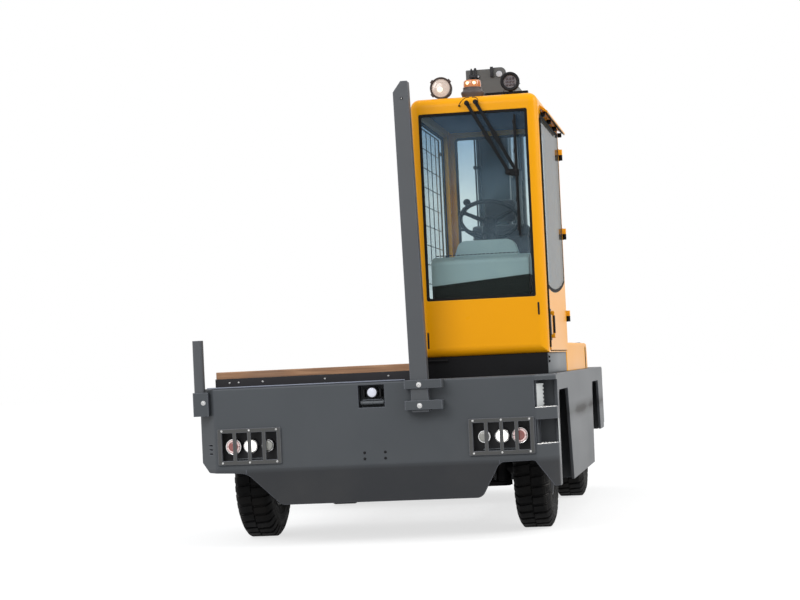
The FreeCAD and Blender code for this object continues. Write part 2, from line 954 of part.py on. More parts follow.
def knuckle(side):
    """One steering knuckle: a block on the king pin, the wheel spindle, and the arm to the tie rod."""
    x = side * king_pin_x
    height = yoke_gap - 4.0
    block = rod((x, front_axle_y, axle_z - height / 2), (0, 0, 1), 52.0, height)
    spindle_start = side * (king_pin_x + 30)
    spindle = rod((spindle_start, front_axle_y, axle_z), (side, 0, 0), spindle_radius,
                  wheel_x - king_pin_x - 30)
    arm = prism(
        "z",
        [
            (x - 30, front_axle_y),
            (x + 30, front_axle_y),
            (x + 22, front_axle_y + steer_arm + 22, 20),
            (x - 22, front_axle_y + steer_arm + 22, 20),
        ],
        axle_z - height / 2,
        axle_z - height / 2 + 28,
    )
    pin = rod((x, front_axle_y + steer_arm, axle_z - height / 2 - 40), (0, 0, 1), 12.0, 45)
    body = fuse(block, spindle, arm, pin)
    return body.cut(rod((x, front_axle_y, 0), (0, 0, 1), king_pin_radius + 0.6, 2000))


def tie_rod():
    """The bar between the two steering arms, with an eye round each arm's pin."""
    z = axle_z - (yoke_gap - 4.0) / 2 - 18 - seat_gap
    y = front_axle_y + steer_arm - tie_offset
    bar = rod((-king_pin_x + 30, y, z), (1, 0, 0), 16.0, 2 * king_pin_x - 60)
    eyes, bores = [], []
    for side in (-1, 1):
        eyes.append(rod((side * king_pin_x, y, z - 18), (0, 0, 1), 44.0, 36))
        bores.append(rod((side * king_pin_x, y, z - 30), (0, 0, 1), 34.0, 60))
    return cut(fuse(bar, *eyes), *bores)


def tyre(side, y):
    """A rubber tyre in flat facets, one for each lug, with a groove between lugs on both shoulders."""
    half = tyre_width / 2
    x = side * wheel_x
    reach = 1.0 / math.cos(math.pi / tyre_lugs)
    top = tyre_radius * reach
    profile = [
        (-half + 14, rim_radius * reach),
        (-half, tyre_radius - 72),
        (-half + 34, top),
        (half - 34, top),
        (half, tyre_radius - 72),
        (half - 14, rim_radius * reach),
    ]
    body = polygon_rings(x, y, axle_z, profile, tyre_lugs)
    grooves = []
    for i in range(tyre_lugs):
        turn = 2 * math.pi * (i + 0.5) / tyre_lugs
        for end in (-1, 1):
            section = [(-9.0, top + 6), (9.0, top + 6), (0.0, top - lug_depth)]
            corners = [V(0, u, -r) for u, r in section]
            u0, u1 = sorted((end * (half - 62), end * (half + 5)))
            groove = Part.Face(Part.makePolygon(corners + corners[:1])).extrude(V(u1 - u0, 0, 0))
            groove.translate(V(u0, 0, 0))
            groove.rotate(V(0, 0, 0), V(1, 0, 0), math.degrees(turn))
            groove.translate(V(x, y, axle_z))
            grooves.append(groove)
    return body.cut(grooves)


def rim(side, y):
    """A dished steel wheel: rim band with rolled lips, disc with hand holes, and the hub on the spindle."""
    half = tyre_width / 2
    x0 = side * wheel_x - half + 14
    band = tube((x0, y, axle_z), (1, 0, 0), rim_radius - 0.3, rim_radius - rim_wall, tyre_width - 28)
    disc_x = side * (wheel_x + 25)
    disc = rod((disc_x, y, axle_z), (side, 0, 0), rim_radius - rim_wall + 1, 14)
    hub = rod((side * (wheel_x - 90), y, axle_z), (side, 0, 0), 92.0, 150)
    cap = rod((side * (wheel_x + 59), y, axle_z), (side, 0, 0), 60.0, 40)
    whole = fuse(band, disc, hub, cap)
    holes = []
    for i in range(rim_holes):
        angle = 2 * math.pi * i / rim_holes
        holes.append(
            rod(
                (disc_x - side * 5, y + 145 * math.cos(angle), axle_z + 145 * math.sin(angle)),
                (side, 0, 0),
                24.0,
                30,
            )
        )
    bore = rod((side * (wheel_x - 91), y, axle_z), (side, 0, 0), spindle_radius + bore_gap, 141)
    return cut(whole, bore, *holes)


rim_holes = 6


# ---------------------------------------------------------------- engine and hood
engine_x0 = hood_x0 + 120.0
engine_x1 = hood_x1 - 70.0
engine_y0 = hood_y0 + 240.0
engine_y1 = hood_y1 - 280.0
engine_top = 1290.0


def engine_block():
    """The engine as one plain block at its real place and size."""
    return box(engine_x0, engine_x1, engine_y0, engine_y1, high_beam_top, engine_top)


def hood():
    """The yellow hood over the engine, hinged at its rear edge."""
    def shell(inset, bottom, top):
        return prism(
            "x",
            [
                (hood_y0 + inset, bottom),
                (hood_y0 + inset, top, 60),
                (hood_y1 - hood_nose + inset * 0.3, top, 120),
                (hood_y1 - inset, top - hood_drop, 60),
                (hood_y1 - inset, bottom),
            ],
            hood_x0 + inset,
            hood_x1 - inset,
        )

    base = deck_top + seat_gap
    outer = shell(0.0, base, hood_top)
    outer = fillet_where(
        outer,
        25.0,
        lambda e: e.BoundBox.ZMin > base + 1 and e.BoundBox.XLength < 1,
    )
    inner = shell(hood_wall, base - 10, hood_top - hood_wall)
    louvres = []
    for i in range(louvre_rows):
        z = base + 90.0 + i * 42.0
        louvres.append(box(hood_x0 - 5, hood_x1 + 5, hood_y0 + 160, hood_y0 + 520, z, z + 16))
    eyes = []
    bores = []
    for x in hood_hinges:
        start = (x + 12 + 0.3, hood_pivot_y, hood_pivot_z)
        eyes.append(rod(start, (1, 0, 0), 16.0, 40))
        eyes.append(box(start[0], start[0] + 40, hood_y1 - 1, hood_pivot_y, hood_pivot_z,
                        hood_pivot_z + 16))
        bores.append(rod((x - 5, hood_pivot_y, hood_pivot_z), (1, 0, 0), 8.0 + bore_gap, 80))
    return cut(fuse(outer.cut(inner), *eyes), *bores, *louvres)


hood_hinges = (hood_x0 + 70.0, hood_x1 - 130.0)
hood_pivot_y = hood_y1 + 22.0
hood_pivot_z = deck_top + 24.0


def hood_brackets():
    """The fixed halves of the hood's hinges, each an ear with a pin."""
    solids = []
    for x in hood_hinges:
        ear = prism(
            "x",
            [
                (hood_pivot_y - 18, deck_top),
                (hood_pivot_y - 18, hood_pivot_z + 16, 12),
                (hood_pivot_y + 18, hood_pivot_z + 16, 12),
                (hood_pivot_y + 18, deck_top),
            ],
            x,
            x + 12,
        )
        solids.append(fuse(ear, rod((x + 1, hood_pivot_y, hood_pivot_z), (1, 0, 0), 8.0, 58)))
    return solids


# ---------------------------------------------------------------- cab
door_front_gap = 110.0
door_rear_gap = 55.0
door_y0 = cab_front + door_front_gap
door_y1 = cab_rear - door_rear_gap
door_z0 = cab_floor + 8.0
door_z1 = cab_top - 130.0
door_gap = 6.0
door_thick = 42.0
door_proud = 6.0
door_outer = cab_x1 + door_proud
door_frame = 26.0
rear_sill = cab_floor + 500.0
rear_pillar = 90.0
side_sill = cab_floor + 360.0
side_pillar = 115.0


def pane_corners(u0, u1, z0, z1, radius, clear=0.0):
    return [
        (u0 + clear, z0 + clear, radius),
        (u1 - clear, z0 + clear, radius),
        (u1 - clear, z1 - clear, radius),
        (u0 + clear, z1 - clear, radius),
    ]


def front_pane(clear=0.0):
    return pane_corners(window_x0, window_x1, window_z0, window_z1, 12, clear)


def rear_pane(clear=0.0):
    return pane_corners(cab_x0 + rear_pillar, cab_x1 - rear_pillar, rear_sill, window_z1, 30, clear)


def side_pane(clear=0.0):
    return pane_corners(cab_front + side_pillar, cab_rear - side_pillar, side_sill, window_z1, 30, clear)


def cab_shell():
    """The cab's frame, hollow, with its window and door openings cut, and the rain visor over the door."""
    outer = box(cab_x0, cab_x1, cab_front, cab_rear, cab_floor, cab_top)

    def rounded(edge):
        b = edge.BoundBox
        upright = b.ZLength > 1000 and b.YMin < cab_front + 1
        top_front = b.ZMin > cab_top - 1 and (b.YMax < cab_front + 1 or b.YLength > 1000)
        bottom_front = b.ZMax < cab_floor + 1 and b.YMax < cab_front + 1
        return upright or top_front or bottom_front

    outer = fillet_where(outer, cab_round, rounded)
    inner = box(
        cab_x0 + cab_wall,
        cab_x1 - cab_wall,
        cab_front + cab_wall,
        cab_rear - cab_wall,
        cab_floor + cab_wall,
        cab_top - cab_wall,
    )
    front_window = prism("y", front_pane(), cab_front - 5, cab_front + cab_wall + 5)
    rear_window = prism("y", rear_pane(), cab_rear - cab_wall - 5, cab_rear + 5)
    side_window = prism("x", side_pane(), cab_x0 - 5, cab_x0 + cab_wall + 5)
    door_hole = prism("x", door_corners(0.0), cab_x1 - cab_wall - 5, cab_x1 + 5)
    shell = cut(outer, inner, front_window, rear_window, side_window, door_hole)
    visor = prism(
        "y",
        [
            (cab_x1 - 30, cab_top - 72),
            (cab_x1 + visor_reach, cab_top - visor_drop - 14),
            (cab_x1 + visor_reach, cab_top - visor_drop, 5),
            (cab_x1 - 30, cab_top - 42),
        ],
        cab_front + visor_start,
        cab_rear + visor_behind,
    )
    return fuse(shell, visor)


visor_reach = 52.0
visor_drop = 110.0
visor_start = 190.0
visor_behind = 45.0
door_pivot_x = cab_x1 + 20.0
door_pivot_y = door_y1 + door_gap
door_hinges = (cab_floor + 220.0, cab_floor + 820.0, cab_top - 320.0)
hinge_radius = 13.0
hinge_pin = 6.0
hinge_half = 40.0


def door_brackets():
    """The cab's halves of the door hinges, each a leaf, a barrel and a pin."""
    solids = []
    for z in door_hinges:
        leaf = box(cab_x1, cab_x1 + 10, door_pivot_y, cab_rear - 8, z, z + hinge_half)
        barrel = rod((door_pivot_x, door_pivot_y, z), (0, 0, 1), hinge_radius, hinge_half)
        pin = rod((door_pivot_x, door_pivot_y, z), (0, 0, 1), hinge_pin, 2 * hinge_half)
        bridge = box(cab_x1, door_pivot_x, door_pivot_y, door_pivot_y + hinge_radius, z, z + hinge_half)
        solids.append(fuse(leaf, barrel, pin, bridge))
    return solids


def door_corners(shrink):
    """The door's outline in the side view, drawn in by shrink all round."""
    y0, y1 = door_y0 + shrink, door_y1 - shrink
    z0, z1 = door_z0 + shrink, door_z1 - shrink
    return [(y0, z0, 30), (y1, z0, 30), (y1, z1, 40), (y0, z1, 40)]


def door_wave(y_start, y_end):
    """The curved line between the door's panel and its glass: a low dip in front, rising to the rear."""
    length = y_end - y_start
    rises = ((0.0, 428.0), (0.28, 406.0), (0.58, 424.0), (0.82, 470.0), (1.0, 535.0))
    curve = Part.BSplineCurve()
    curve.interpolate([V(0, y_start + share * length, cab_floor + rise) for share, rise in rises])
    return curve


def door_split(above):
    """A block that holds everything above, or below, the door's curved line."""
    y_start, y_end = door_y0 - 20, door_y1 + 20
    curve = door_wave(y_start, y_end)
    edge = curve.toShape()
    first, last = curve.StartPoint, curve.EndPoint
    far = cab_top + 100.0 if above else cab_floor - 200.0
    corners = [last, V(0, y_end, far), V(0, y_start, far), first]
    lines = [Part.LineSegment(corners[i], corners[i + 1]).toShape() for i in range(3)]
    face = Part.Face(Part.Wire([edge] + lines))
    return face.extrude(V(400, 0, 0)).translated(V(cab_x1 - 200, 0, 0))


def door_panel():
    """The door: a thick lower panel with a pull, a frame round the glass, and three hinge straps."""
    slab = prism("x", door_corners(door_gap), door_outer - door_thick, door_outer)
    panel = slab.common(door_split(False))
    frame_x0 = door_outer - door_thick + glass
    ring = prism("x", door_corners(door_gap), frame_x0, door_outer - glass)
    ring = ring.cut(prism("x", door_corners(door_gap + door_frame), frame_x0 - 1, door_outer))
    ring = ring.fuse(slab.common(rear_stile()))
    straps = []
    for z in door_hinges:
        low, high = z + hinge_half + seat_gap, z + 2 * hinge_half
        strap = box(door_outer - 1, door_outer + 8, door_pivot_y - 45, door_pivot_y, low, high)
        barrel = rod((door_pivot_x, door_pivot_y, low), (0, 0, 1), hinge_radius, hinge_half - seat_gap)
        bore = rod((door_pivot_x, door_pivot_y, low - 5), (0, 0, 1), hinge_pin + bore_gap, hinge_half + 10)
        link = box(door_outer, door_pivot_x, door_pivot_y - hinge_radius, door_pivot_y, low, high)
        straps.append(fuse(strap, barrel, link).cut(bore))
    pull_y, pull_z = door_y0 + 60, door_z0 + 85
    handle = prism(
        "x",
        [(pull_y, pull_z, 8), (pull_y + 22, pull_z, 8), (pull_y + 22, pull_z + 180, 8),
         (pull_y, pull_z + 180, 8)],
        door_outer - 1,
        door_outer + 26,
    )
    handle = handle.cut(box(door_outer - 2, door_outer + 12, pull_y - 10, pull_y + 30, pull_z + 25,
                            pull_z + 155))
    handle = handle.cut(box(door_outer - 2, door_outer, pull_y - 10, pull_y + 30, pull_z - 1, pull_z + 181))
    return fuse(panel, ring.common(door_split(True)), handle, *straps)


def rear_stile():
    """The full-thickness strip along the door's hinged edge."""
    return box(cab_x1 - 100, cab_x1 + 100, door_y1 - door_gap - 46.0, door_y1, door_z0 - 30, door_z1)


def door_glass():
    slab = prism("x", door_corners(door_gap), door_outer - glass, door_outer)
    return slab.common(door_split(True)).cut(rear_stile())


def cab_glass():
    """The three fixed panes: windscreen, rear window and load-side window."""
    front = prism("y", front_pane(seat_gap), cab_front + 6, cab_front + 6 + glass)
    rear = prism("y", rear_pane(seat_gap), cab_rear - 14, cab_rear - 14 + glass)
    side = prism("x", side_pane(seat_gap), cab_x0 + 6, cab_x0 + 6 + glass)
    return [front, rear, side]


def cab_base():
    """The plinth that carries the cab over the deck."""
    x0, x1 = cab_x0 + 20, cab_x1 - 15
    y0, y1 = cab_front + 45, min(-well_half - 5, fairing_y0 - 25)
    outer = box(x0, x1, y0, y1, deck_top, cab_floor)
    return outer.cut(box(x0 + 40, x1 - 40, y0 + 40, y1 - 40, deck_top - 1, cab_floor - 20))


def roof_hatch():
    """The raised hatch on the cab's roof, and the bar that carries the small lamp."""
    frame = box(cab_x0 + 120, cab_x1 - 60, cab_front + 320, cab_rear - 170, cab_top, cab_top + 22)
    frame = fillet_where(frame, 12.0, lambda e: e.BoundBox.ZMin > cab_top + 21)
    bar = box(small_lamp_x - 170, small_lamp_x + 115, cab_front + 150, cab_front + 200, cab_top,
              cab_top + 30)
    return [frame, bar]


big_lamp_x = cab_x0 + 207.0
big_lamp_radius = 70.0
small_lamp_x = cab_x1 - 185.0
small_lamp_radius = 58.0
lamp_bar = 30.0


def work_lamps():
    """A round work lamp at each front corner of the roof, with dished faces."""
    y, z = cab_front + 80.0, cab_top + big_lamp_radius + 4
    big = rod((big_lamp_x, y, z), (0, 1, 0), big_lamp_radius, 60)
    rim_cut = Part.makeCone(big_lamp_radius - 7, big_lamp_radius - 16, 8.0, V(big_lamp_x, y - 1, z),
                            V(0, 1, 0))
    big_foot = box(big_lamp_x - 14, big_lamp_x + 14, y + 15, y + 50, cab_top, cab_top + 12)
    small_y, small_z = cab_front + 140.0, cab_top + lamp_bar + small_lamp_radius + 8
    small = rod((small_lamp_x, small_y, small_z), (0, 1, 0), small_lamp_radius, 70)
    small_cut = Part.makeCone(
        small_lamp_radius - 9, small_lamp_radius - 24, 16.0, V(small_lamp_x, small_y - 1, small_z),
        V(0, 1, 0)
    )
    small_foot = box(
        small_lamp_x - 12, small_lamp_x + 12, small_y + 20, small_y + 50, cab_top + lamp_bar,
        cab_top + lamp_bar + 14
    )
    return [fuse(big.cut(rim_cut), big_foot), fuse(small.cut(small_cut), small_foot)]


beacon_x = cab_x0 + 412.0


def beacon():
    """The flashing beacon: a flared base and a round lens with a rim."""
    y = cab_front + 135.0
    foot = Part.makeCone(76.0, 60.0, 66.0, V(beacon_x, y, cab_top), V(0, 0, 1))
    rim_plate = rod((beacon_x, y, cab_top + 66), (0, 0, 1), 61.0, 5)
    lens = Part.makeCone(58.0, 52.0, 44.0, V(beacon_x, y, cab_top + 71), V(0, 0, 1))
    crown = Part.makeCone(52.0, 34.0, 8.0, V(beacon_x, y, cab_top + 115), V(0, 0, 1))
    return fuse(foot, rim_plate, lens, crown)


wiper_arms = ((388.0, -52.0, 646.0, -525.0), (446.0, -46.0, 694.0, -518.0))


def wiper():
    """The twin-arm wiper: two parallel arms from above the window and a blade that hangs upright."""
    y = cab_front - 22.0
    solids = []
    for x0, z0, x1, z1 in wiper_arms:
        x0, x1, z0, z1 = cab_x0 + x0, cab_x0 + x1, cab_top + z0, cab_top + z1
        length = math.hypot(x1 - x0, z1 - z0)
        flat = box(0, length, -7, 7, -11, 11)
        flat = flat.fuse(box(length * 0.42, length * 0.58, -7, 9, -15, 15))
        flat.rotate(V(0, 0, 0), V(0, 1, 0), -math.degrees(math.atan2(z1 - z0, x1 - x0)))
        flat.translate(V(x0, y, z0))
        solids.append(flat)
        solids.append(rod((x0, y - 10, z0), (0, 1, 0), 16.0, cab_front - y + 10 - seat_gap))
        solids.append(rod((x1, y - 10, z1), (0, 1, 0), 13.0, 20))
    end_x, end_z = cab_x0 + wiper_arms[1][2], cab_top + wiper_arms[1][3]
    head = prism(
        "y",
        [
            (end_x - 72, end_z - 22, 10),
            (end_x + 20, end_z - 40, 10),
            (end_x + 20, end_z + 14, 10),
            (end_x - 72, end_z + 16, 10),
        ],
        y - 10,
        y + 8,
    )
    blade = box(end_x + 2, end_x + 13, y - 6, y + 12, cab_top - 945.0, cab_top - 145.0)
    return fuse(*solids, head, blade)


seat_x = cab_mid
seat_rise = 440.0
seat_height = cab_floor + seat_rise
seat_reach = 735.0
seat_front = cab_rear - seat_reach
seat_width = 480.0


def seat():
    """The driver's seat on its box: cushion, backrest and head pad."""
    x = seat_x
    base = box(x - 170, x + 170, seat_front + 60, seat_front + 420, cab_floor + cab_wall, seat_height - 120)
    cushion = fillet_where(
        box(x - seat_width / 2, x + seat_width / 2, seat_front, seat_front + 460, seat_height - 120,
            seat_height),
        40.0,
        lambda e: e.BoundBox.ZMin > seat_height - 1,
    )
    back_y = seat_front + 390.0
    back = prism(
        "x",
        [
            (back_y, seat_height - 40),
            (back_y + 60, seat_height + 520, 50),
            (back_y + 180, seat_height + 520, 50),
            (back_y + 140, seat_height - 40),
        ],
        x - seat_width / 2 + 10,
        x + seat_width / 2 - 10,
    )
    head = prism(
        "x",
        [
            (back_y + 75, seat_height + 500),
            (back_y + 85, seat_height + 700, 35),
            (back_y + 165, seat_height + 700, 35),
            (back_y + 165, seat_height + 500),
        ],
        x - 130,
        x + 130,
    )
    return fuse(base, cushion, back, head)


dash_top = cab_floor + 672.0
dash_depth = 300.0
pod_half = 230.0
pod_height = 96.0


def dashboard():
    """The console under the windscreen with its instrument pod, and the side console for the levers."""
    front = cab_front + cab_wall + 4
    top = prism(
        "x",
        [
            (front, cab_floor + cab_wall),
            (front, dash_top - 40, 30),
            (front + dash_depth * 0.5, dash_top, 60),
            (front + dash_depth, dash_top - 90, 40),
            (front + dash_depth * 0.5, cab_floor + cab_wall),
        ],
        cab_x0 + cab_wall + 40,
        cab_x1 - cab_wall - 60,
    )
    pod = prism(
        "y",
        [
            (wheel_mid - pod_half, dash_top - 60),
            (wheel_mid + pod_half, dash_top - 60),
            (wheel_mid + pod_half - 50, dash_top + pod_height, 60),
            (wheel_mid - pod_half + 50, dash_top + pod_height, 60),
        ],
        front + dash_depth * 0.28,
        front + dash_depth * 0.72,
    )
    console = prism(
        "x",
        [
            (seat_front - 310, cab_floor + cab_wall),
            (seat_front - 310, seat_height + 120, 40),
            (seat_front + 240, seat_height + 80, 40),
            (seat_front + 240, cab_floor + cab_wall),
        ],
        cab_x0 + cab_wall + 10,
        cab_x0 + cab_wall + 120,
    )
    return [fuse(top, pod), console]


wheel_mid = cab_x0 + 452.0
wheel_height = cab_floor + 920.0
wheel_y = cab_front + 435.0
ring_radius = 200.0
ring_thick = 15.0
wheel_lean = 0.7


def steering_wheel():
    """The steering wheel: an eight-sided ring, three spokes, the hub and the column into the console."""
    centre = V(wheel_mid, wheel_y, wheel_height)
    tilt = V(0, wheel_lean, 1).normalize()
    section = []
    for i in range(8):
        angle = math.pi * (i + 0.5) / 4
        section.append(V(ring_radius + ring_thick * math.cos(angle), 0, ring_thick * math.sin(angle)))
    ring = Part.Face(Part.makePolygon(section + section[:1])).revolve(V(0, 0, 0), V(0, 0, 1), 360)
    ring.rotate(V(0, 0, 0), V(1, 0, 0), -math.degrees(math.atan(wheel_lean)))
    ring.translate(centre)
    hub = Part.makeCylinder(38.0, 40.0, centre - tilt * 30, tilt)
    side = tilt.cross(V(1, 0, 0))
    spokes = []
    for angle in (90, 210, 330):
        a = math.radians(angle)
        direction = V(1, 0, 0) * math.cos(a) + side * math.sin(a)
        spokes.append(Part.makeCylinder(11.0, ring_radius - 2, centre, direction))
    column = Part.makeCylinder(32.0, 420.0, centre - tilt * 430, tilt)
    column = column.cut(dashboard()[0].translated(V(0, 0, 3 * seat_gap)))
    column = column.cut(dashboard()[0])
    kept = max(column.Solids, key=lambda solid: solid.CenterOfMass.z)
    return fuse(ring, hub, *spokes, kept)


# ---------------------------------------------------------------- mast
def channel(outer_x0, outer_x1, y_web, y_open, wall, z0, z1):
    """A channel with its web at y_web and its flanges pointing to y_open."""
    low, high = min(y_web, y_open), max(y_web, y_open)
    outer = box(outer_x0, outer_x1, low, high, z0, z1)
    inward = 1 if y_open > y_web else -1
    web_inner = y_web + inward * wall
    a, b = min(web_inner, y_open + inward), max(web_inner, y_open + inward)
    return outer.cut(box(outer_x0 + wall, outer_x1 - wall, a, b, z0 - 1, z1 + 1))


mast_back = mast_front + mast_depth
cylinder_x = mast_back - 65.0
cylinder_y = 420.0
barrel_radius = 52.0
rod_radius = 32.0
barrel_bottom = mast_bottom + 26.0
barrel_top = mast_top - 690.0
inner_bottom = barrel_bottom + seat_gap
carriage_plate_bottom = 560.0
cross_plate = 35.0


def outer_mast():
    """The fixed uprights, joined at the back and under the lift cylinders."""
    parts = []
    for side in (-1, 1):
        y_web = side * mast_half
        y_open = side * (mast_half - channel_width)
        parts.append(channel(mast_front, mast_back, y_web, y_open, channel_wall, mast_bottom,
                             mast_top - 40))
        head = prism(
            "y",
            [
                (mast_front - 48, mast_top - 190, 10),
                (mast_back - 20, mast_top - 190, 10),
                (mast_back + 12, mast_top - 120),
                (mast_back + 12, mast_top, 40),
                (mast_back - 92, mast_top, 20),
                (mast_back - 100, mast_top - 8),
                (mast_front - 48, mast_top - 8, 6),
            ],
            min(y_web, y_web + side * 14),
            max(y_web, y_web + side * 14),
        )
        parts.append(head)
        stub = side * (mast_half + 14)
        parts.append(rod((mast_back - 38, stub, mast_top - 52), (0, side, 0), 24.0, 8))
    middle = (mast_bottom + mast_top) / 2 - 125.0
    for z0, z1 in ((mast_bottom, mast_bottom + 130), (middle, middle + 120),
                   (mast_top - 190, mast_top - 60)):
        parts.append(box(mast_back, mast_back + cross_plate, -mast_half, mast_half, z0, z1))
    floor_z = barrel_bottom
    parts.append(box(cylinder_x - 60, mast_back, -mast_half, mast_half, mast_bottom, floor_z))
    whole = fuse(*parts)
    for side in (-1, 1):
        y = side * mast_half
        boss = rod((tilt_pivot_x, y, tilt_pivot_z), (0, side, 0), 34.0, 12)
        bore = rod((tilt_pivot_x, y - side * 30, tilt_pivot_z), (0, side, 0), pivot_radius + bore_gap, 60)
        whole = whole.fuse(boss).cut(bore)
        lug = box(
            mast_back + cross_plate - 1,
            mast_back + cross_plate + 60,
            side * tilt_y - 30,
            side * tilt_y + 30,
            tilt_eye_z - 30,
            tilt_eye_z + 30,
        )
        slot = box(
            mast_back + cross_plate,
            mast_back + cross_plate + 70,
            side * tilt_y - 18,
            side * tilt_y + 18,
            tilt_eye_z - 40,
            tilt_eye_z + 40,
        )
        pin = rod((tilt_eye_x, side * tilt_y - 30, tilt_eye_z), (0, 1, 0), 12.0, 60)
        plate_back = box(
            mast_back - 10,
            mast_back + cross_plate,
            side * tilt_y - 45,
            side * tilt_y + 45,
            tilt_eye_z - 60,
            tilt_eye_z + 60,
        )
        whole = whole.fuse([plate_back, cut(lug, slot), pin])
    return whole.removeSplitter()


tilt_y = mast_half - 50.0
pivot_radius = 18.0
tilt_eye_x = mast_back + 70.0
tilt_eye_z = 930.0
tilt_base_x = mast_back + 150.0
tilt_base_z = 530.0


def inner_mast():
    """The moving uprights, nested in the outer ones, joined at their top and bottom."""
    gap = run
    x0 = mast_front + channel_wall + gap
    x1 = mast_back - channel_wall - gap
    parts = []
    for side in (-1, 1):
        y_web = side * (mast_half - channel_wall - gap)
        y_open = side * (mast_half - channel_wall - gap - 72)
        parts.append(channel(x0, x1, y_web, y_open, 15.0, inner_bottom, mast_top - 70))
    half = mast_half - channel_wall - gap - 60
    parts.append(box(cylinder_x - 45, x1, -half, half, mast_top - 210, mast_top - 90))
    web = mast_half - channel_wall - gap - 12
    parts.append(box(mast_front + 56, mast_front + 108, -web, web, inner_bottom,
                     carriage_plate_bottom - 12))
    for y in (-chain_y, chain_y):
        parts.append(rod((sheave_x, y - 24, sheave_z), (0, 1, 0), sheave_radius, 48))
        parts.append(rod((sheave_x, y - 34, sheave_z), (0, 1, 0), 16.0, 68))
        for offset in (-34, 26):
            parts.append(
                box(sheave_x - 20, cylinder_x - 45, y + offset, y + offset + 8, sheave_z - 25,
                    mast_top - 90)
            )
    return fuse(*parts)


def lift_barrels():
    """The lift cylinders' barrels, each with a wider gland at its mouth."""
    length = barrel_top - barrel_bottom
    barrel = rod((cylinder_x, -cylinder_y, barrel_bottom), (0, 0, 1), barrel_radius, length)
    gland = rod((cylinder_x, -cylinder_y, barrel_top - 70), (0, 0, 1), barrel_radius + 7, 70)
    bore = rod((cylinder_x, -cylinder_y, barrel_bottom - 1), (0, 0, 1), rod_radius + 0.5, length + 2)
    return both_ends(fuse(barrel, gland).cut(bore))


def lift_rods():
    """The lift cylinders' rods, which end in the inner mast's top beam."""
    start = barrel_bottom + 124.0
    return both_ends(rod((cylinder_x, -cylinder_y, start), (0, 0, 1), rod_radius, mast_top - 210 - start))


sheave_x = mast_front + 100.0
sheave_z = mast_top - 280.0
sheave_radius = 52.0
chain_y = 300.0
chain_width = 32.0
chain_thick = 14.0
chain_pitch = 160.0
chain_waist = 4.0
chain_foot = 1110.0
wrap_steps = 8


def chain_run(x0, x1, y, z0, z1):
    """A straight run of leaf chain: a flat band with a waist between links."""
    half, waist = chain_width / 2, chain_width / 2 - chain_waist
    links = max(1, int((z1 - z0) / chain_pitch))
    pitch = (z1 - z0) / links
    right, left = [], []
    for i in range(links):
        z = z0 + i * pitch
        for share, wide in ((0.0, waist), (0.12, half), (0.88, half)):
            right.append((y + wide, z + share * pitch))
            left.append((y - wide, z + share * pitch))
    right.append((y + waist, z1))
    left.append((y - waist, z1))
    return prism("x", right + left[::-1], x0, x1)


def lift_chains():
    """The two lift chains over the inner mast's sheaves, each with a front run, a back run and the wrap."""
    solids = []
    outer_r = sheave_radius + chain_thick
    for y in (-chain_y, chain_y):
        arc = [math.pi * i / wrap_steps for i in range(wrap_steps + 1)]
        stretch = 1.0 / math.cos(math.pi / wrap_steps / 2)
        ring = [(sheave_x + outer_r * math.cos(a), sheave_z + outer_r * math.sin(a)) for a in arc]
        inner = [
            (sheave_x + (sheave_radius + seat_gap) * stretch * math.cos(a),
             sheave_z + (sheave_radius + seat_gap) * stretch * math.sin(a))
            for a in arc
        ]
        wrap = prism("y", ring + inner[::-1], y - chain_width / 2 + chain_waist,
                     y + chain_width / 2 - chain_waist)
        near, far = sheave_radius * stretch + seat_gap, outer_r
        front = chain_run(sheave_x - far, sheave_x - near, y, chain_foot, sheave_z)
        back = chain_run(sheave_x + near, sheave_x + far, y, mast_top - 640.0, sheave_z)
        solids.append(fuse(wrap, front, back))
    return solids


carriage_roller_low = 640.0
carriage_roller_high = 990.0
carriage_x0 = mast_front - 66.0
carriage_x1 = mast_front - 10.0
carriage_half = mast_half - 25.0
carriage_roller = 76.0
carriage_bars = ((580.0, 690.0), (940.0, 1050.0))
fork_y = 330.0
fork_width = 150.0
fork_thick = 58.0
fork_length = 1200.0
fork_bottom = 485.0


def fork_carriage():
    """Two cross bars on side plates, with rollers that run in the inner mast."""
    parts = []
    for low, high in carriage_bars:
        parts.append(box(carriage_x0, carriage_x1, -carriage_half, carriage_half, low, high))
    for side in (-1, 1):
        y0 = side * (mast_half - channel_wall - run - 72 - run)
        y1 = y0 - side * 24
        parts.append(
            prism(
                "y",
                [
                    (carriage_x0 + 10, carriage_plate_bottom, 20),
                    (mast_back - 50, carriage_plate_bottom, 40),
                    (mast_back - 50, 1070, 40),
                    (carriage_x0 + 10, 1070, 20),
                ],
                min(y0, y1),
                max(y0, y1),
            )
        )
        shift = (mast_depth - 2 * (channel_wall + run + 15)) / 2 - carriage_roller - seat_gap
        for z, x in ((carriage_roller_low, shift), (carriage_roller_high, -shift)):
            axis = (mast_front + mast_depth / 2 + x, y1, z)
            parts.append(rod(axis, (0, side, 0), carriage_roller, 24 + run + 52))
        parts.append(box(carriage_x1 - 2, carriage_x1 + 30, side * (mast_half - 125) - 30,
                         side * (mast_half - 125) + 30, 560, 1050))
    for y in (-chain_y, chain_y):
        parts.append(box(carriage_x1 - 2, sheave_x - sheave_radius - chain_thick - run, y - 25, y + 25,
                         1000, 1050))
    return fuse(*parts)


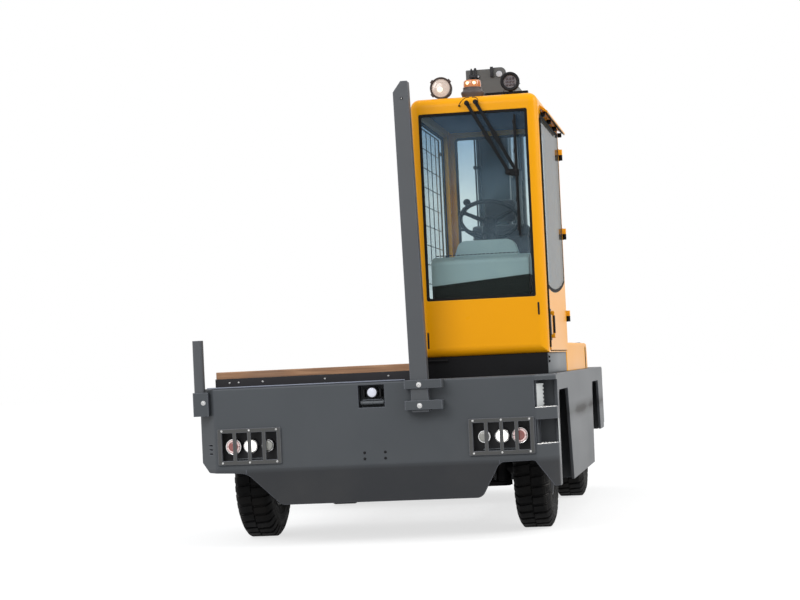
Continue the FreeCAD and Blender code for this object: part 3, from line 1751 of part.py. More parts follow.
def forks():
    """Two forks hooked over the carriage's bars, each a tapered blade with a bent heel."""
    blades = []
    heel_x = carriage_x0 - fork_thick
    side_view = [
        (carriage_x0 - 0.5, fork_bottom, 70),
        (carriage_x0 - 0.5, 1075),
        (heel_x, 1075),
        (heel_x, fork_bottom + fork_thick, 30),
        (heel_x - fork_length, fork_bottom + 18),
        (heel_x - fork_length, fork_bottom + 4),
        (heel_x - 500, fork_bottom),
    ]
    for y in (-fork_y, fork_y):
        blade = prism("y", side_view, y - fork_width / 2, y + fork_width / 2)
        hook = box(carriage_x0 - 1, carriage_x0 + 34, y - fork_width / 2, y + fork_width / 2, 1052, 1075)
        tip = heel_x - fork_length
        corner = prism(
            "z",
            [(tip - 1, y + fork_width / 2 + 1), (tip + 90, y + fork_width / 2 + 1), (tip - 1, y + 25)],
            fork_bottom - 20,
            fork_bottom + 80,
        )
        other = corner.mirror(V(0, y, 0), V(0, 1, 0))
        blades.append(cut(fuse(blade, hook), corner, other))
    return blades


sled_plate_y = mast_half + 15.0
sled_plate = 25.0


def mast_sled():
    """The frame that carries the mast across the well on four rollers."""
    parts = []
    for side in (-1, 1):
        y0 = side * sled_plate_y
        y1 = side * (sled_plate_y + sled_plate)
        cheek = prism(
            "y",
            [
                (mast_front - 20, tilt_pivot_z - 75, 15),
                (mast_back + 220, tilt_pivot_z - 75, 15),
                (mast_back + 220, tilt_pivot_z + 120, 60),
                (mast_back - 20, tilt_pivot_z + 120, 60),
                (mast_back - 80, tilt_pivot_z + 80, 30),
                (mast_front - 20, tilt_pivot_z + 80, 40),
            ],
            min(y0, y1),
            max(y0, y1),
        )
        parts.append(cheek)
        for x in (mast_front + 40, mast_back + 160):
            parts.append(rod((x, y1, tilt_pivot_z), (0, side, 0), 18.0, 40))
            parts.append(
                rod((x, y1 + side * 30, tilt_pivot_z), (0, side, 0), roller_radius, 60)
            )
        parts.append(rod((tilt_pivot_x, y0 - side * 32, tilt_pivot_z), (0, side, 0), pivot_radius, 36))
        parts.append(rod((tilt_base_x, y0 - side * 100, tilt_base_z), (0, side, 0), 14.0, 104))
    parts.append(box(mast_back + 90, mast_back + 220, -sled_plate_y - 2, sled_plate_y + 2,
                     tilt_pivot_z - 75, tilt_pivot_z - 15))
    return fuse(*parts)


def tilt_line():
    start = V(tilt_base_x, 0, tilt_base_z)
    end = V(tilt_eye_x, 0, tilt_eye_z)
    return start, (end - start).normalize(), (end - start).Length


def tilt_barrels():
    """The tilt cylinders' barrels, each turning on a pin of the sled."""
    start, along, length = tilt_line()
    solids = []
    for side in (-1, 1):
        y = side * tilt_y
        eye = rod((tilt_base_x, y - 16, tilt_base_z), (0, 1, 0), 32.0, 32)
        base = start + V(0, y, 0)
        barrel = Part.makeCylinder(36.0, 250.0, base + along * 20, along)
        whole = fuse(eye, barrel)
        whole = whole.cut(Part.makeCylinder(18.5, 300.0, base + along * 50, along))
        solids.append(whole.cut(rod((tilt_base_x, y - 60, tilt_base_z), (0, 1, 0), 14.0 + bore_gap, 120)))
    return solids


def tilt_rods():
    """The tilt cylinders' rods, each with an open eye round the mast's pin."""
    start, along, length = tilt_line()
    solids = []
    for side in (-1, 1):
        y = side * tilt_y
        end = V(tilt_eye_x, y, tilt_eye_z)
        shaft = Part.makeCylinder(18.0, length - 95.0, end - along * (length - 80.0), along)
        eye = rod((tilt_eye_x, y - 14, tilt_eye_z), (0, 1, 0), 26.0, 28)
        bore = rod((tilt_eye_x, y - 20, tilt_eye_z), (0, 1, 0), 16.0, 40)
        solids.append(fuse(shaft, eye).cut(bore))
    return solids


# ---------------------------------------------------------------- output
def main():
    os.makedirs(PARTS, exist_ok=True)
    save("front_panel", front_panel())
    save("rear_panel", rear_panel())
    save("side_panels", *side_panels())
    save("decks", *decks())
    save("bulkheads", *bulkheads())
    save("main_beams", *main_beams())
    save("reach_rails", *reach_rails())
    save("side_tank", side_tank())
    save("side_fairing", *side_fairing())
    save("bolster_channels", *bolster_channels())
    save("wood_bolsters", *wood_bolsters())
    save("load_posts", *load_posts())
    save("post_brackets", *post_brackets())
    save("lamp_guards", *lamp_guards())
    save("head_lamps", *head_lamps())
    save("tail_lamps", *tail_lamps())
    save("front_sensor", front_sensor())
    save("steps", *steps())
    save("tow_coupling", *tow_coupling())
    save("axles", *axles())
    save("engine_block", engine_block())
    save("hood", hood())
    save("hood_brackets", *hood_brackets())
    save("cab_shell", cab_shell())
    save("cab_glass", *cab_glass())
    save("cab_base", cab_base())
    save("roof_hatch", *roof_hatch())
    save("work_lamps", *work_lamps())
    save("beacon", beacon())
    save("wiper", wiper())
    save("seat", seat())
    save("dashboard", *dashboard())
    save("steering_wheel", steering_wheel())
    save("door_panel", door_panel())
    save("door_glass", door_glass())
    save("door_brackets", *door_brackets())
    for name, side in (("load", -1), ("cab", 1)):
        save("knuckle_" + name, knuckle(side))
        for end, y in (("front", front_axle_y), ("rear", rear_axle_y)):
            save(f"tyre_{end}_{name}", tyre(side, y))
            save(f"rim_{end}_{name}", rim(side, y))
    save("tie_rod", tie_rod())
    save("mast_sled", mast_sled())
    save("outer_mast", outer_mast())
    save("inner_mast", inner_mast())
    save("lift_barrels", *lift_barrels())
    save("lift_rods", *lift_rods())
    save("lift_chains", *lift_chains())
    save("fork_carriage", fork_carriage())
    save("forks", *forks())
    save("tilt_barrels", *tilt_barrels())
    save("tilt_rods", *tilt_rods())


main()
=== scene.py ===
"""Side loader forklift: materials, trim, tyres, lamps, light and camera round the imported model."""
import json
import math

import bmesh
import bpy
from mathutils import Matrix, Vector


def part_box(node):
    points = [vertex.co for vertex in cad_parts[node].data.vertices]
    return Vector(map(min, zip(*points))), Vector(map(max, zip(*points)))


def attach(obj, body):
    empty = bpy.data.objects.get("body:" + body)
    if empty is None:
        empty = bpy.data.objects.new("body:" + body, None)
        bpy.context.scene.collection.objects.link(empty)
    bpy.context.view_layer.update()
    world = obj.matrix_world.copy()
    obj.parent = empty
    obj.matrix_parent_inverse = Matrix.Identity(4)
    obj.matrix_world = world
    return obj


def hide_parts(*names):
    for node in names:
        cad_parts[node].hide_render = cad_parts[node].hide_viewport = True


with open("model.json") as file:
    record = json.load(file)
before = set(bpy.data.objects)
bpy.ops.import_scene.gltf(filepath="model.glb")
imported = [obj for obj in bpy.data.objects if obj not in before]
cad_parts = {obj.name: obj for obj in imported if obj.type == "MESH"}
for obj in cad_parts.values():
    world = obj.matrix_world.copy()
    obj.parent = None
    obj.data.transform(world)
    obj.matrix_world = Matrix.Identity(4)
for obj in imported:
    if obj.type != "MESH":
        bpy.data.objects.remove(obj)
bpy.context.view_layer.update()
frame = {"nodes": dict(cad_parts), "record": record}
NODES = frame["nodes"]
BODIES = frame["record"]["behaviour"]["bodies"]
# the truck faces -Y, and its cab stands on the +X side
FORWARD, BACKWARD, UPWARD, ACROSS = (0, -1, 0), (0, 1, 0), (0, 0, 1), (1, 0, 0)


# ---------------------------------------------------------------- node helpers
def feed(tree, value, socket):
    """Links an output to a socket, or gives the socket a plain value or colour."""
    if isinstance(value, bpy.types.NodeSocket):
        tree.links.new(value, socket)
    elif socket.type == "RGBA":
        socket.default_value = (*value, 1.0)[:4]
    else:
        socket.default_value = value


def node(tree, kind, inputs=None, **values):
    """A shader node with its settings, and with its inputs fed."""
    made = tree.nodes.new(kind)
    for key, value in values.items():
        setattr(made, key, value)
    for key, value in (inputs or {}).items():
        feed(tree, value, made.inputs[key])
    return made


def maths(tree, operation, *values):
    """One step of arithmetic on outputs or plain numbers."""
    inputs = dict(enumerate(values))
    return node(tree, "ShaderNodeMath", inputs, operation=operation).outputs[0]


def ramp(tree, value, low, high, a=0.0, b=1.0):
    """Maps the stretch from low to high onto the one from a to b."""
    inputs = {"Value": value, "From Min": low, "From Max": high, "To Min": a, "To Max": b}
    return node(tree, "ShaderNodeMapRange", inputs).outputs[0]


def layered(tree, factor, under, over):
    """One colour over another, as far as factor says."""
    inputs = {"Factor": factor, "A": under, "B": over}
    return node(tree, "ShaderNodeMix", inputs, data_type="RGBA").outputs["Result"]


def shared(tree, factor, first, second):
    """A mix of two shaders."""
    return node(tree, "ShaderNodeMixShader", {0: factor, 1: first, 2: second}).outputs[0]


def axes(tree, place):
    """The X, Y and Z of a place."""
    return node(tree, "ShaderNodeSeparateXYZ", {0: place}).outputs


# ---------------------------------------------------------------- kinds of material
class Look:
    """A node material that is built from one Principled shader."""

    def __init__(self, name, colour, roughness=0.5, metallic=0.0):
        self.material = bpy.data.materials.new(name)
        self.material.use_nodes = True
        self.tree = self.material.node_tree
        self.shader = self.tree.nodes["Principled BSDF"]
        self.base, self.height = colour, None
        self.set("Base Color", colour)
        self.set("Roughness", roughness)
        self.set("Metallic", metallic)
        self.place = node(self.tree, "ShaderNodeTexCoord").outputs["Object"]

    def set(self, name, value):
        """Feeds one input of the Principled shader."""
        feed(self.tree, value, self.shader.inputs[name])

    def noise(self, scale, detail=4.0, stretch=None, kind="ShaderNodeTexNoise"):
        """Noise or cells in the object's own coordinates, closer along the axes with a high stretch."""
        place = self.place
        if stretch:
            mapping = node(self.tree, "ShaderNodeMapping", {"Vector": place, "Scale": stretch})
            place = mapping.outputs["Vector"]
        made = node(self.tree, kind, {"Vector": place, "Scale": scale, "Detail": detail})
        return made.outputs[0]

    def ramp(self, value, low, high, a=0.0, b=1.0):
        """Maps the stretch from low to high onto the one from a to b."""
        return ramp(self.tree, value, low, high, a, b)

    def times(self, a, b):
        """The product of two values."""
        return maths(self.tree, "MULTIPLY", a, b)

    def level(self):
        """The height above the ground."""
        return axes(self.tree, self.place)["Z"]

    def mix(self, factor, other):
        """Lays another colour over the base where factor is high."""
        self.base = layered(self.tree, factor, self.base, other)
        self.set("Base Color", self.base)

    def cloud(self, noise, low, high, amount, other):
        """Lays another colour over the base in soft clouds."""
        self.mix(self.ramp(noise, low, high, 0.0, amount), other)

    def rough(self, value, low, high, a, b):
        """Lets the roughness follow a value."""
        self.set("Roughness", self.ramp(value, low, high, a, b))

    def bump(self, value, strength, distance=0.001):
        """Raises the surface where value is high, on top of the bumps before it."""
        inputs = {"Strength": strength, "Distance": distance, "Height": value}
        if self.height is not None:
            inputs["Normal"] = self.height
        self.height = node(self.tree, "ShaderNodeBump", inputs).outputs["Normal"]
        self.set("Normal", self.height)

    def soft_edges(self, radius=0.004):
        """Rounds hard edges in the shading, as thick paint does."""
        self.height = node(self.tree, "ShaderNodeBevel", {"Radius": radius}, samples=4).outputs["Normal"]
        return self.height

    def edge_mask(self, radius, low, high):
        """One along sharp edges and nought on flat places."""
        soft = self.height or self.soft_edges(radius)
        flat = node(self.tree, "ShaderNodeNewGeometry").outputs["True Normal"]
        dot = node(self.tree, "ShaderNodeVectorMath", {0: soft, 1: flat}, operation="DOT_PRODUCT")
        return self.ramp(dot.outputs["Value"], low, high)

    def worn_edges(self, colour, radius=0.008, amount=0.5):
        """Rubs the paint off along sharp edges, in patches."""
        edge = self.edge_mask(radius, 0.995, 0.90)
        patches = self.ramp(self.noise(9.0, 6.0), 0.56, 0.66)
        self.mix(self.times(self.times(edge, patches), amount), colour)

    def edge_highlights(self, colour, radius=0.008, amount=0.9):
        """Paints a highlight along every sharp edge, where the paint is rounded and would catch the sky."""
        self.mix(self.times(self.edge_mask(radius, 0.999, 0.95), amount), colour)

    def cloudy_band(self, colour, level, half, amount):
        """A soft, uneven stripe of another tone at one level."""
        height = self.level()
        above = self.ramp(height, level - half, level)
        below = self.ramp(height, level + half, level)
        cloud = self.ramp(self.noise(2.2, 3.0, (1.0, 0.3, 1.5)), 0.3, 0.6, 0.3, amount)
        mask = self.times(self.times(above, below), cloud)
        self.mix(mask, colour)
        self.set("Specular IOR Level", self.ramp(mask, 0.0, 0.7, 0.22, 0.02))

    def dusty(self, colour, amount, low=0.0, high=0.9):
        """Lays road dust on the low parts, thinner further up."""
        fade = self.ramp(self.level(), low, high, 1.0, 0.0)
        cloud = self.ramp(self.noise(3.5, 8.0), 0.35, 0.75, 0.0, amount)
        self.mix(self.times(fade, cloud), colour)


def scaled(colour, factor):
    """A colour made darker or lighter."""
    return tuple(c * factor for c in colour)


def paint(name, colour, dark, light, roughness=0.42, wear=(0.2, 0.2, 0.2), dust=0.25, edge=None, gloss=0.2,
          skirt=None, cloud=None):
    """Sprayed paint: cloudy tone, orange peel, worn edges, a painted highlight along the edges where edge
    is given, and dust low down.

    skirt is painted shade, a darker tone below a level, and cloud is a stripe of another tone.
    """
    look = Look(name, colour, roughness)
    look.set("Specular IOR Level", gloss)
    look.cloud(look.noise(1.3, 3.0, (1.0, 0.3, 1.0)), 0.35, 0.7, 0.6, dark)
    look.cloud(look.noise(3.1, 3.0, (1.0, 0.2, 1.0)), 0.52, 0.75, 0.3, light)
    # painted shade: the lower part is made darker below a level
    if skirt:
        tone, low, high = skirt
        look.mix(look.ramp(look.level(), high, low), tone)
    if cloud:
        look.cloudy_band(*cloud)
    look.worn_edges(wear)
    # painted highlight along the sharp edges, in the colour given as edge
    if edge:
        look.edge_highlights(edge)
    look.dusty((0.19, 0.175, 0.155), dust)
    look.rough(look.noise(2.0, 2.0, (1.0, 0.2, 1.0)), 0.3, 0.7, roughness - 0.03, roughness + 0.05)
    look.bump(look.noise(420.0, 2.0), 0.05, 0.0004)
    return look.material


def metal(name, colour, roughness=0.3, stain=(0.12, 0.1, 0.08)):
    """Bare or plated metal with fine upright streaks and a few stains."""
    look = Look(name, colour, roughness, 1.0)
    look.soft_edges(0.002)
    look.cloud(look.noise(5.0, 8.0), 0.5, 0.8, 0.6, stain)
    lines = look.noise(60.0, 4.0, (1.0, 1.0, 14.0))
    look.rough(lines, 0.3, 0.7, roughness - 0.1, roughness + 0.15)
    look.bump(lines, 0.08, 0.0005)
    return look.material


def plastic(name, colour, roughness=0.55, grain=260.0, strength=0.15, gloss=0.25):
    """Moulded plastic with a fine grain."""
    look = Look(name, colour, roughness)
    look.set("Specular IOR Level", gloss)
    look.soft_edges(0.003)
    lighter = tuple(min(1.0, c * 1.5 + 0.003) for c in colour)
    look.cloud(look.noise(3.0, 6.0), 0.4, 0.75, 0.5, lighter)
    look.rough(look.noise(11.0, 5.0), 0.3, 0.7, roughness - 0.08, roughness + 0.1)
    look.bump(look.noise(grain, 2.0), strength, 0.0006)
    return look.material


def timber(name):
    """Weathered softwood with its grain along X."""
    look = Look(name, (0.30, 0.155, 0.078), 0.72)
    look.soft_edges(0.004)
    grain = look.noise(7.0, 10.0, (0.6, 9.0, 9.0))
    rings = look.noise(3.0, 6.0, (0.5, 20.0, 20.0))
    look.cloud(grain, 0.42, 0.62, 1.0, (0.40, 0.225, 0.125))
    look.cloud(rings, 0.55, 0.7, 0.7, (0.17, 0.085, 0.045))
    look.cloud(look.noise(2.0, 8.0), 0.55, 0.8, 0.6, (0.14, 0.10, 0.08))
    look.rough(grain, 0.3, 0.7, 0.62, 0.85)
    look.bump(grain, 0.5, 0.002)
    look.bump(rings, 0.4, 0.002)
    return look.material


def rubber(name, colour=(0.0045, 0.0045, 0.0048), dusty=(0.020, 0.019, 0.017), edge_dust_and_highlight=None):
    """Black rubber with some dust; the last argument gives the sharp edges a pale tone of dust and painted
    highlight, from one distance across to another.
    """
    look = Look(name, colour, 0.72)
    look.soft_edges(0.005)
    look.set("Specular IOR Level", 0.12)
    look.cloud(look.noise(6.0, 6.0), 0.5, 0.75, 0.6, dusty)
    look.cloud(look.noise(30.0, 4.0), 0.55, 0.75, 0.4, scaled(dusty, 0.6))
    look.rough(look.noise(12.0, 5.0), 0.3, 0.7, 0.65, 0.85)
    look.bump(look.noise(150.0, 5.0), 0.2, 0.001)
    # dust and painted highlight: the outer lug edges are made paler
    if edge_dust_and_highlight:
        tone, start, full = edge_dust_and_highlight
        across = maths(look.tree, "ABSOLUTE", axes(look.tree, look.place)["X"])
        edges = look.edge_mask(0.006, 0.998, 0.90)
        patches = look.ramp(look.noise(14.0, 4.0), 0.42, 0.58)
        look.mix(look.times(look.times(edges, look.ramp(across, start, full)), patches), tone)
    return look.material


def pane(name, colour, roughness=0.02, dirt=0.05, ior=1.3, film_colour=(0.55, 0.58, 0.58), most=0.3,
         zones=None):
    """Clear glass with a faint tint, a diffuse film and a soft reflection that never passes most.

    zones gives the tint and the film's share from place to place, where they aren't the same all over. The
    film is dust, and on the cab's panes a painted reflection of the sky.
    """
    material = bpy.data.materials.new(name)
    material.use_nodes = True
    tree = material.node_tree
    place = node(tree, "ShaderNodeTexCoord").outputs["Object"]
    cloud = node(tree, "ShaderNodeTexNoise", {"Vector": place, "Scale": 2.5, "Detail": 8.0}).outputs[0]
    tint, film = colour, ramp(tree, cloud, 0.3, 0.8, dirt * 0.4, dirt * 1.8)
    if zones:
        tint, share = zones(tree, place)
        film = maths(tree, "MULTIPLY", share, film)
    clear = node(tree, "ShaderNodeBsdfTransparent", {"Color": tint}).outputs[0]
    gloss = node(tree, "ShaderNodeBsdfGlossy", {"Roughness": roughness}).outputs[0]
    # the film: dust, and on the cab's panes a painted reflection of the sky
    dust = node(tree, "ShaderNodeBsdfDiffuse", {"Color": film_colour}).outputs[0]
    fresnel = node(tree, "ShaderNodeFresnel", {"IOR": ior}).outputs[0]
    clean = shared(tree, maths(tree, "MINIMUM", fresnel, most), clear, gloss)
    tree.links.new(shared(tree, film, clean, dust), tree.nodes["Material Output"].inputs["Surface"])
    tree.nodes.remove(tree.nodes["Principled BSDF"])
    return material


def reflection_two_tone(name, upper, lower, level, slope, roughness):
    """Moulded plastic in two colours that meet along a slightly sloping line; the pale upper colour is a
    painted reflection of the sky from the windscreen in front of it.
    """
    look = Look(name, upper, roughness)
    look.set("Specular IOR Level", 0.06)
    look.soft_edges(0.004)
    at = axes(look.tree, look.place)
    lean = maths(look.tree, "MULTIPLY_ADD", at["X"], -slope, at["Z"])
    look.cloud(look.noise(5.0, 4.0), 0.4, 0.7, 0.25, scaled(upper, 0.85))
    look.mix(look.ramp(lean, level + 0.003, level - 0.003), lower)
    look.bump(look.noise(320.0, 2.0), 0.12, 0.0005)
    return look.material


def weave(name, colour):
    """Woven seat cloth: crossing threads, a little fuzz and paler worn places."""
    look = Look(name, colour, 0.85)
    look.set("Sheen Weight", 0.3)
    look.set("Sheen Roughness", 0.5)
    inputs = {"Vector": look.place, "Scale": 130.0, "Distortion": 0.6}
    waves = [node(look.tree, "ShaderNodeTexWave", inputs, wave_type="BANDS", bands_direction=way)
             for way in ("X", "Z")]
    both = look.times(waves[0].outputs["Fac"], waves[1].outputs["Fac"])
    look.cloud(both, 0.2, 0.8, 0.25, scaled(colour, 1.7))
    look.cloud(look.noise(6.0, 6.0), 0.5, 0.8, 0.5, scaled(colour, 1.8))
    look.bump(both, 0.3, 0.0008)
    look.bump(look.noise(9.0, 3.0), 0.10, 0.002)
    return look.material


def lamp_glass(name, colour, strength, cell=180.0, light=None):
    """Moulded lamp glass: small optic cells under a smooth face, lit from inside."""
    look = Look(name, colour, 0.14)
    look.set("Coat Weight", 0.6)
    cells = look.noise(cell, 1.0, kind="ShaderNodeTexVoronoi")
    look.cloud(cells, 0.1, 0.7, 0.5, scaled(colour, 0.55))
    look.bump(cells, 0.25, 0.001)
    if strength:
        look.set("Emission Color", light or colour)
        look.set("Emission Strength", strength)
    return look.material


# ---------------------------------------------------------------- the materials
CAB_LO, CAB_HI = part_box("cab_shell")
PANEL_LO, PANEL_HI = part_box("front_panel")
TYRE_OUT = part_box("tyre_front_cab")[1].x
WINDSCREEN_Y = CAB_LO.y + 0.035
SUN_BAND = (CAB_HI.z - 0.67, CAB_HI.z - 0.12)
# the sloping line of the sky's reflection in the windscreen, painted onto the dashboard and the cab panes'
# film
REFLECTED_HORIZON_LEVEL, REFLECTED_HORIZON_SLOPE = CAB_LO.z + 0.44, 0.08
DARK_BAND_LEVEL = PANEL_HI.z - 0.29
# the levels where the front panel's painted shade comes in
SKIRT = (PANEL_HI.z - 0.57, PANEL_HI.z - 0.53)


def screen_zones(tree, place):
    """The windscreen's sun band fades downward, and only what lies above the reflected horizon shows the
    film, a painted reflection of the sky.
    """
    at = axes(tree, place)
    front = maths(tree, "LESS_THAN", at["Y"], WINDSCREEN_Y)
    shaded = maths(tree, "MULTIPLY", ramp(tree, at["Z"], *SUN_BAND), front)
    tint = layered(tree, front, (0.84, 0.90, 0.91), (0.93, 0.965, 0.965))
    tint = layered(tree, shaded, tint, (0.54, 0.68, 0.82))
    lean = maths(tree, "MULTIPLY_ADD", at["X"], -REFLECTED_HORIZON_SLOPE, at["Z"])
    return tint, maths(tree, "GREATER_THAN", lean, REFLECTED_HORIZON_LEVEL)


def grey_paint(name, **more):
    """The chassis paint."""
    return paint(name, (0.074, 0.081, 0.089), (0.064, 0.070, 0.077), (0.082, 0.089, 0.097), edge=EDGE_HIGHLIGHT_GREY,
                 **more)


# the colour of the painted highlight along the grey paints' edges
EDGE_HIGHLIGHT_GREY = (0.16, 0.17, 0.20)
MATERIALS = {
    "chassis_grey": grey_paint("chassis_grey"),
    "deck_grey": paint("deck_grey", (0.10, 0.103, 0.11), (0.06, 0.062, 0.067), (0.13, 0.133, 0.14), 0.55,
                       dust=0.35),
    "cab_yellow": paint("cab_yellow", (0.86, 0.36, 0.0006), (0.82, 0.335, 0.0005), (0.88, 0.385, 0.002),
                        0.30, dust=0.04,
                        # edge is a painted highlight along the yellow paint's edges
                        wear=(0.5, 0.22, 0.02), edge=(0.92, 0.45, 0.02), gloss=0.16),
    "frame_black": paint("frame_black", (0.009, 0.009, 0.010), (0.006, 0.006, 0.007), (0.016, 0.016, 0.018),
                         0.5, gloss=0.08,
                         wear=(0.05, 0.05, 0.05), dust=0.15),
    "bolster_wood": timber("bolster_wood"),
    # the tyres' outer lug edges are paled with dust and painted highlight
    "tyre_rubber": rubber("tyre_rubber", dusty=(0.024, 0.022, 0.020),
                          edge_dust_and_highlight=((0.10, 0.094, 0.088), TYRE_OUT - 0.0525, TYRE_OUT - 0.0275)),
    "rim_paint": paint("rim_paint", (0.10, 0.105, 0.11), (0.07, 0.07, 0.075), (0.14, 0.14, 0.145), 0.5,
                       dust=0.5),
    "window_glass": pane("window_glass", (0.62, 0.68, 0.71), 0.03, 0.06, 1.2),
    "lamp_parts": plastic("lamp_parts", (0.03, 0.03, 0.032), 0.45),
    "beacon_amber": plastic("beacon_amber", (0.75, 0.22, 0.02), 0.25, 120.0, 0.1),
    "trim_plastic": plastic("trim_plastic", (0.014, 0.014, 0.015), 0.5),
    "seat_fabric": plastic("seat_fabric", (0.02, 0.02, 0.022), 0.7, 500.0, 0.3),
    "steel_bare": metal("steel_bare", (0.62, 0.62, 0.63)),
    "engine_iron": metal("engine_iron", (0.16, 0.165, 0.17), 0.6),
    "fork_black": paint("fork_black", (0.02, 0.02, 0.021), (0.012, 0.012, 0.013), (0.035, 0.034, 0.033),
                        0.5,
                        wear=(0.35, 0.33, 0.3)),
}
PAINT = {
    "black": paint("guard_black", (0.010, 0.010, 0.011), (0.008, 0.008, 0.009), (0.02, 0.02, 0.022), 0.45,
                   dust=0.0),
    "channel": paint("channel", (0.022, 0.021, 0.024), (0.014, 0.014, 0.016), (0.045, 0.044, 0.050), 0.45,
                     dust=0.0),
    # pale paint for the strip that is a painted highlight on the deck's front top edge
    "deck_edge_highlight": paint("deck_edge_highlight", (0.24, 0.26, 0.32), (0.21, 0.23, 0.28), (0.28, 0.30, 0.36), 0.4,
                       dust=0.0),
    "mid_grey": paint("mid_grey", (0.13, 0.14, 0.15), (0.11, 0.12, 0.13), (0.16, 0.17, 0.18), 0.45,
                      dust=0.1),
}
METAL = {
    "zinc": metal("zinc", (0.60, 0.60, 0.60), 0.34, stain=(0.25, 0.24, 0.22)),
    "galvanised": metal("galvanised", (0.55, 0.57, 0.57), 0.45, stain=(0.30, 0.30, 0.30)),
    "chrome": metal("chrome", (0.88, 0.88, 0.88), 0.12, stain=(0.6, 0.6, 0.6)),
    "chain": metal("chain", (0.20, 0.19, 0.18), 0.42),
}
PLAIN = {
    "black": plastic("black_plastic", (0.008, 0.008, 0.009), 0.45, gloss=0.14),
    "brown_black": plastic("brown_black", (0.045, 0.028, 0.024), 0.4),
    "warm_grey": plastic("warm_grey", (0.085, 0.068, 0.066), 0.4),
    "diode": plastic("diode", (0.10, 0.085, 0.095), 0.2),
    "screen": plastic("screen", (0.012, 0.016, 0.02), 0.12, 40.0, 0.02),
    "pale": plastic("pale_plastic", (0.50, 0.50, 0.52), 0.5, gloss=0.2),
    "ring_grey": plastic("ring_grey", (0.16, 0.145, 0.150), 0.4),
    "liner": plastic("liner", (0.035, 0.045, 0.065), 0.85, 600.0, 0.3),
}
LAMP = {
    "white": lamp_glass("lamp_white", (0.95, 0.93, 0.86), 1.6, light=(1.0, 0.97, 0.90)),
    "ring": lamp_glass("lamp_ring", (0.80, 0.55, 0.53), 0.30, light=(1.0, 0.80, 0.78)),
    "red": lamp_glass("lamp_red", (0.30, 0.085, 0.080), 0.10, 60.0, light=(0.60, 0.16, 0.12)),
    "dull": lamp_glass("lamp_dull", (0.42, 0.42, 0.38), 0.0),
    # no lamp: the front sensor's lens glass, whose glow is painted light
    "sensor_glow": lamp_glass("sensor_lens_glow", (0.72, 0.74, 0.84), 0.25),
    "roof": lamp_glass("lamp_roof", (0.70, 0.57, 0.49), 0.16, 70.0),
    "roof_bulb": lamp_glass("lamp_roof_bulb", (0.95, 0.86, 0.72), 0.5, 70.0),
    "amber": lamp_glass("lamp_amber", (0.62, 0.20, 0.055), 0.12, 90.0, light=(0.9, 0.25, 0.04)),
    "amber_bulb": lamp_glass("lamp_amber_bulb", (1.0, 0.85, 0.55), 2.2, light=(1.0, 0.80, 0.42)),
    "tail_red": lamp_glass("tail_red", (0.45, 0.015, 0.012), 0.0, 240.0),
    "tail_amber": lamp_glass("tail_amber", (0.70, 0.22, 0.02), 0.0, 240.0),
    "tail_clear": lamp_glass("tail_clear", (0.70, 0.70, 0.68), 0.0, 240.0),
}
RUBBER = rubber("seal_rubber", (0.010, 0.010, 0.0105))
FABRIC = weave("seat_weave", (0.022, 0.023, 0.026))
# painted reflection: the dashboard is pale above the reflected horizon and dark below it
DASH_REFLECTION = reflection_two_tone("dash_painted_reflection", (0.33, 0.41, 0.405), (0.010, 0.013, 0.012), REFLECTED_HORIZON_LEVEL, REFLECTED_HORIZON_SLOPE,
                0.6)

SPECIAL = {
    # the front panel gets painted shade, a darker tone below the skirt level
    "front_panel": grey_paint("front_panel", dust=0.1, skirt=((0.036, 0.038, 0.042), *SKIRT)),
    # a darker, less glossy band across the side panels at one height
    "side_panels": grey_paint("side_panels", cloud=((0.030, 0.027, 0.024), DARK_BAND_LEVEL, 0.075, 1.0)),
    "lamp_guards": paint("guard_paint", (0.080, 0.081, 0.080), (0.070, 0.071, 0.070), (0.092, 0.093, 0.090),
                         edge=EDGE_HIGHLIGHT_GREY),
    "load_posts": paint("load_posts", (0.090, 0.095, 0.102), (0.082, 0.087, 0.094), (0.10, 0.105, 0.112),
                        edge=EDGE_HIGHLIGHT_GREY),
    "outer_mast": paint("mast_paint", (0.108, 0.106, 0.102), (0.096, 0.094, 0.091), (0.125, 0.122, 0.118),
                        edge=EDGE_HIGHLIGHT_GREY),
    "door_glass": pane("door_glass", (0.62, 0.68, 0.71), 0.03, 0.09, 1.22, (0.36, 0.39, 0.41), 0.36),
    "wiper": plastic("wiper_black", (0.006, 0.007, 0.008), 0.4, gloss=0.10),
    # the cab panes' blue film is a painted reflection of the sky, cut off at the reflected horizon
    "cab_glass": pane("cab_panes", (0.93, 0.965, 0.965), 0.02, 0.075, 1.16, (0.34, 0.49, 0.62), 0.12,
                      screen_zones),
    "bolster_channels": PAINT["channel"],
    "dashboard": DASH_REFLECTION,
}
for row in frame["record"]["subparts"]:
    node_object = NODES[row["node"]]
    node_object.data.materials.clear()
    node_object.data.materials.append(SPECIAL.get(row["node"], MATERIALS[row["material_slot"]]))


# ---------------------------------------------------------------- building forms
def solids(name):
    """The lowest and highest corners of each separate solid of a CAD node, from left to right."""
    form = bmesh.new()
    form.from_mesh(NODES[name].data)
    bmesh.ops.remove_doubles(form, verts=form.verts, dist=0.00002)
    left, found = set(form.verts), []
    while left:
        todo, group = [left.pop()], []
        while todo:
            vert = todo.pop()
            group.append(vert.co.copy())
            for edge in vert.link_edges:
                other = edge.other_vert(vert)
                if other in left:
                    left.remove(other)
                    todo.append(other)
        lo = Vector(min(p[k] for p in group) for k in range(3))
        hi = Vector(max(p[k] for p in group) for k in range(3))
        found.append((lo, hi))
    form.free()
    return sorted(found, key=lambda pair: (round(pair[0].x, 3), round(pair[0].y, 3), pair[0].z))


def across_of(axis):
    """Two directions square to an axis and to each other."""
    axis = Vector(axis).normalized()
    helper = Vector(UPWARD if abs(axis.z) < 0.9 else ACROSS)
    first = helper.cross(axis).normalized()
    return first, axis.cross(first)


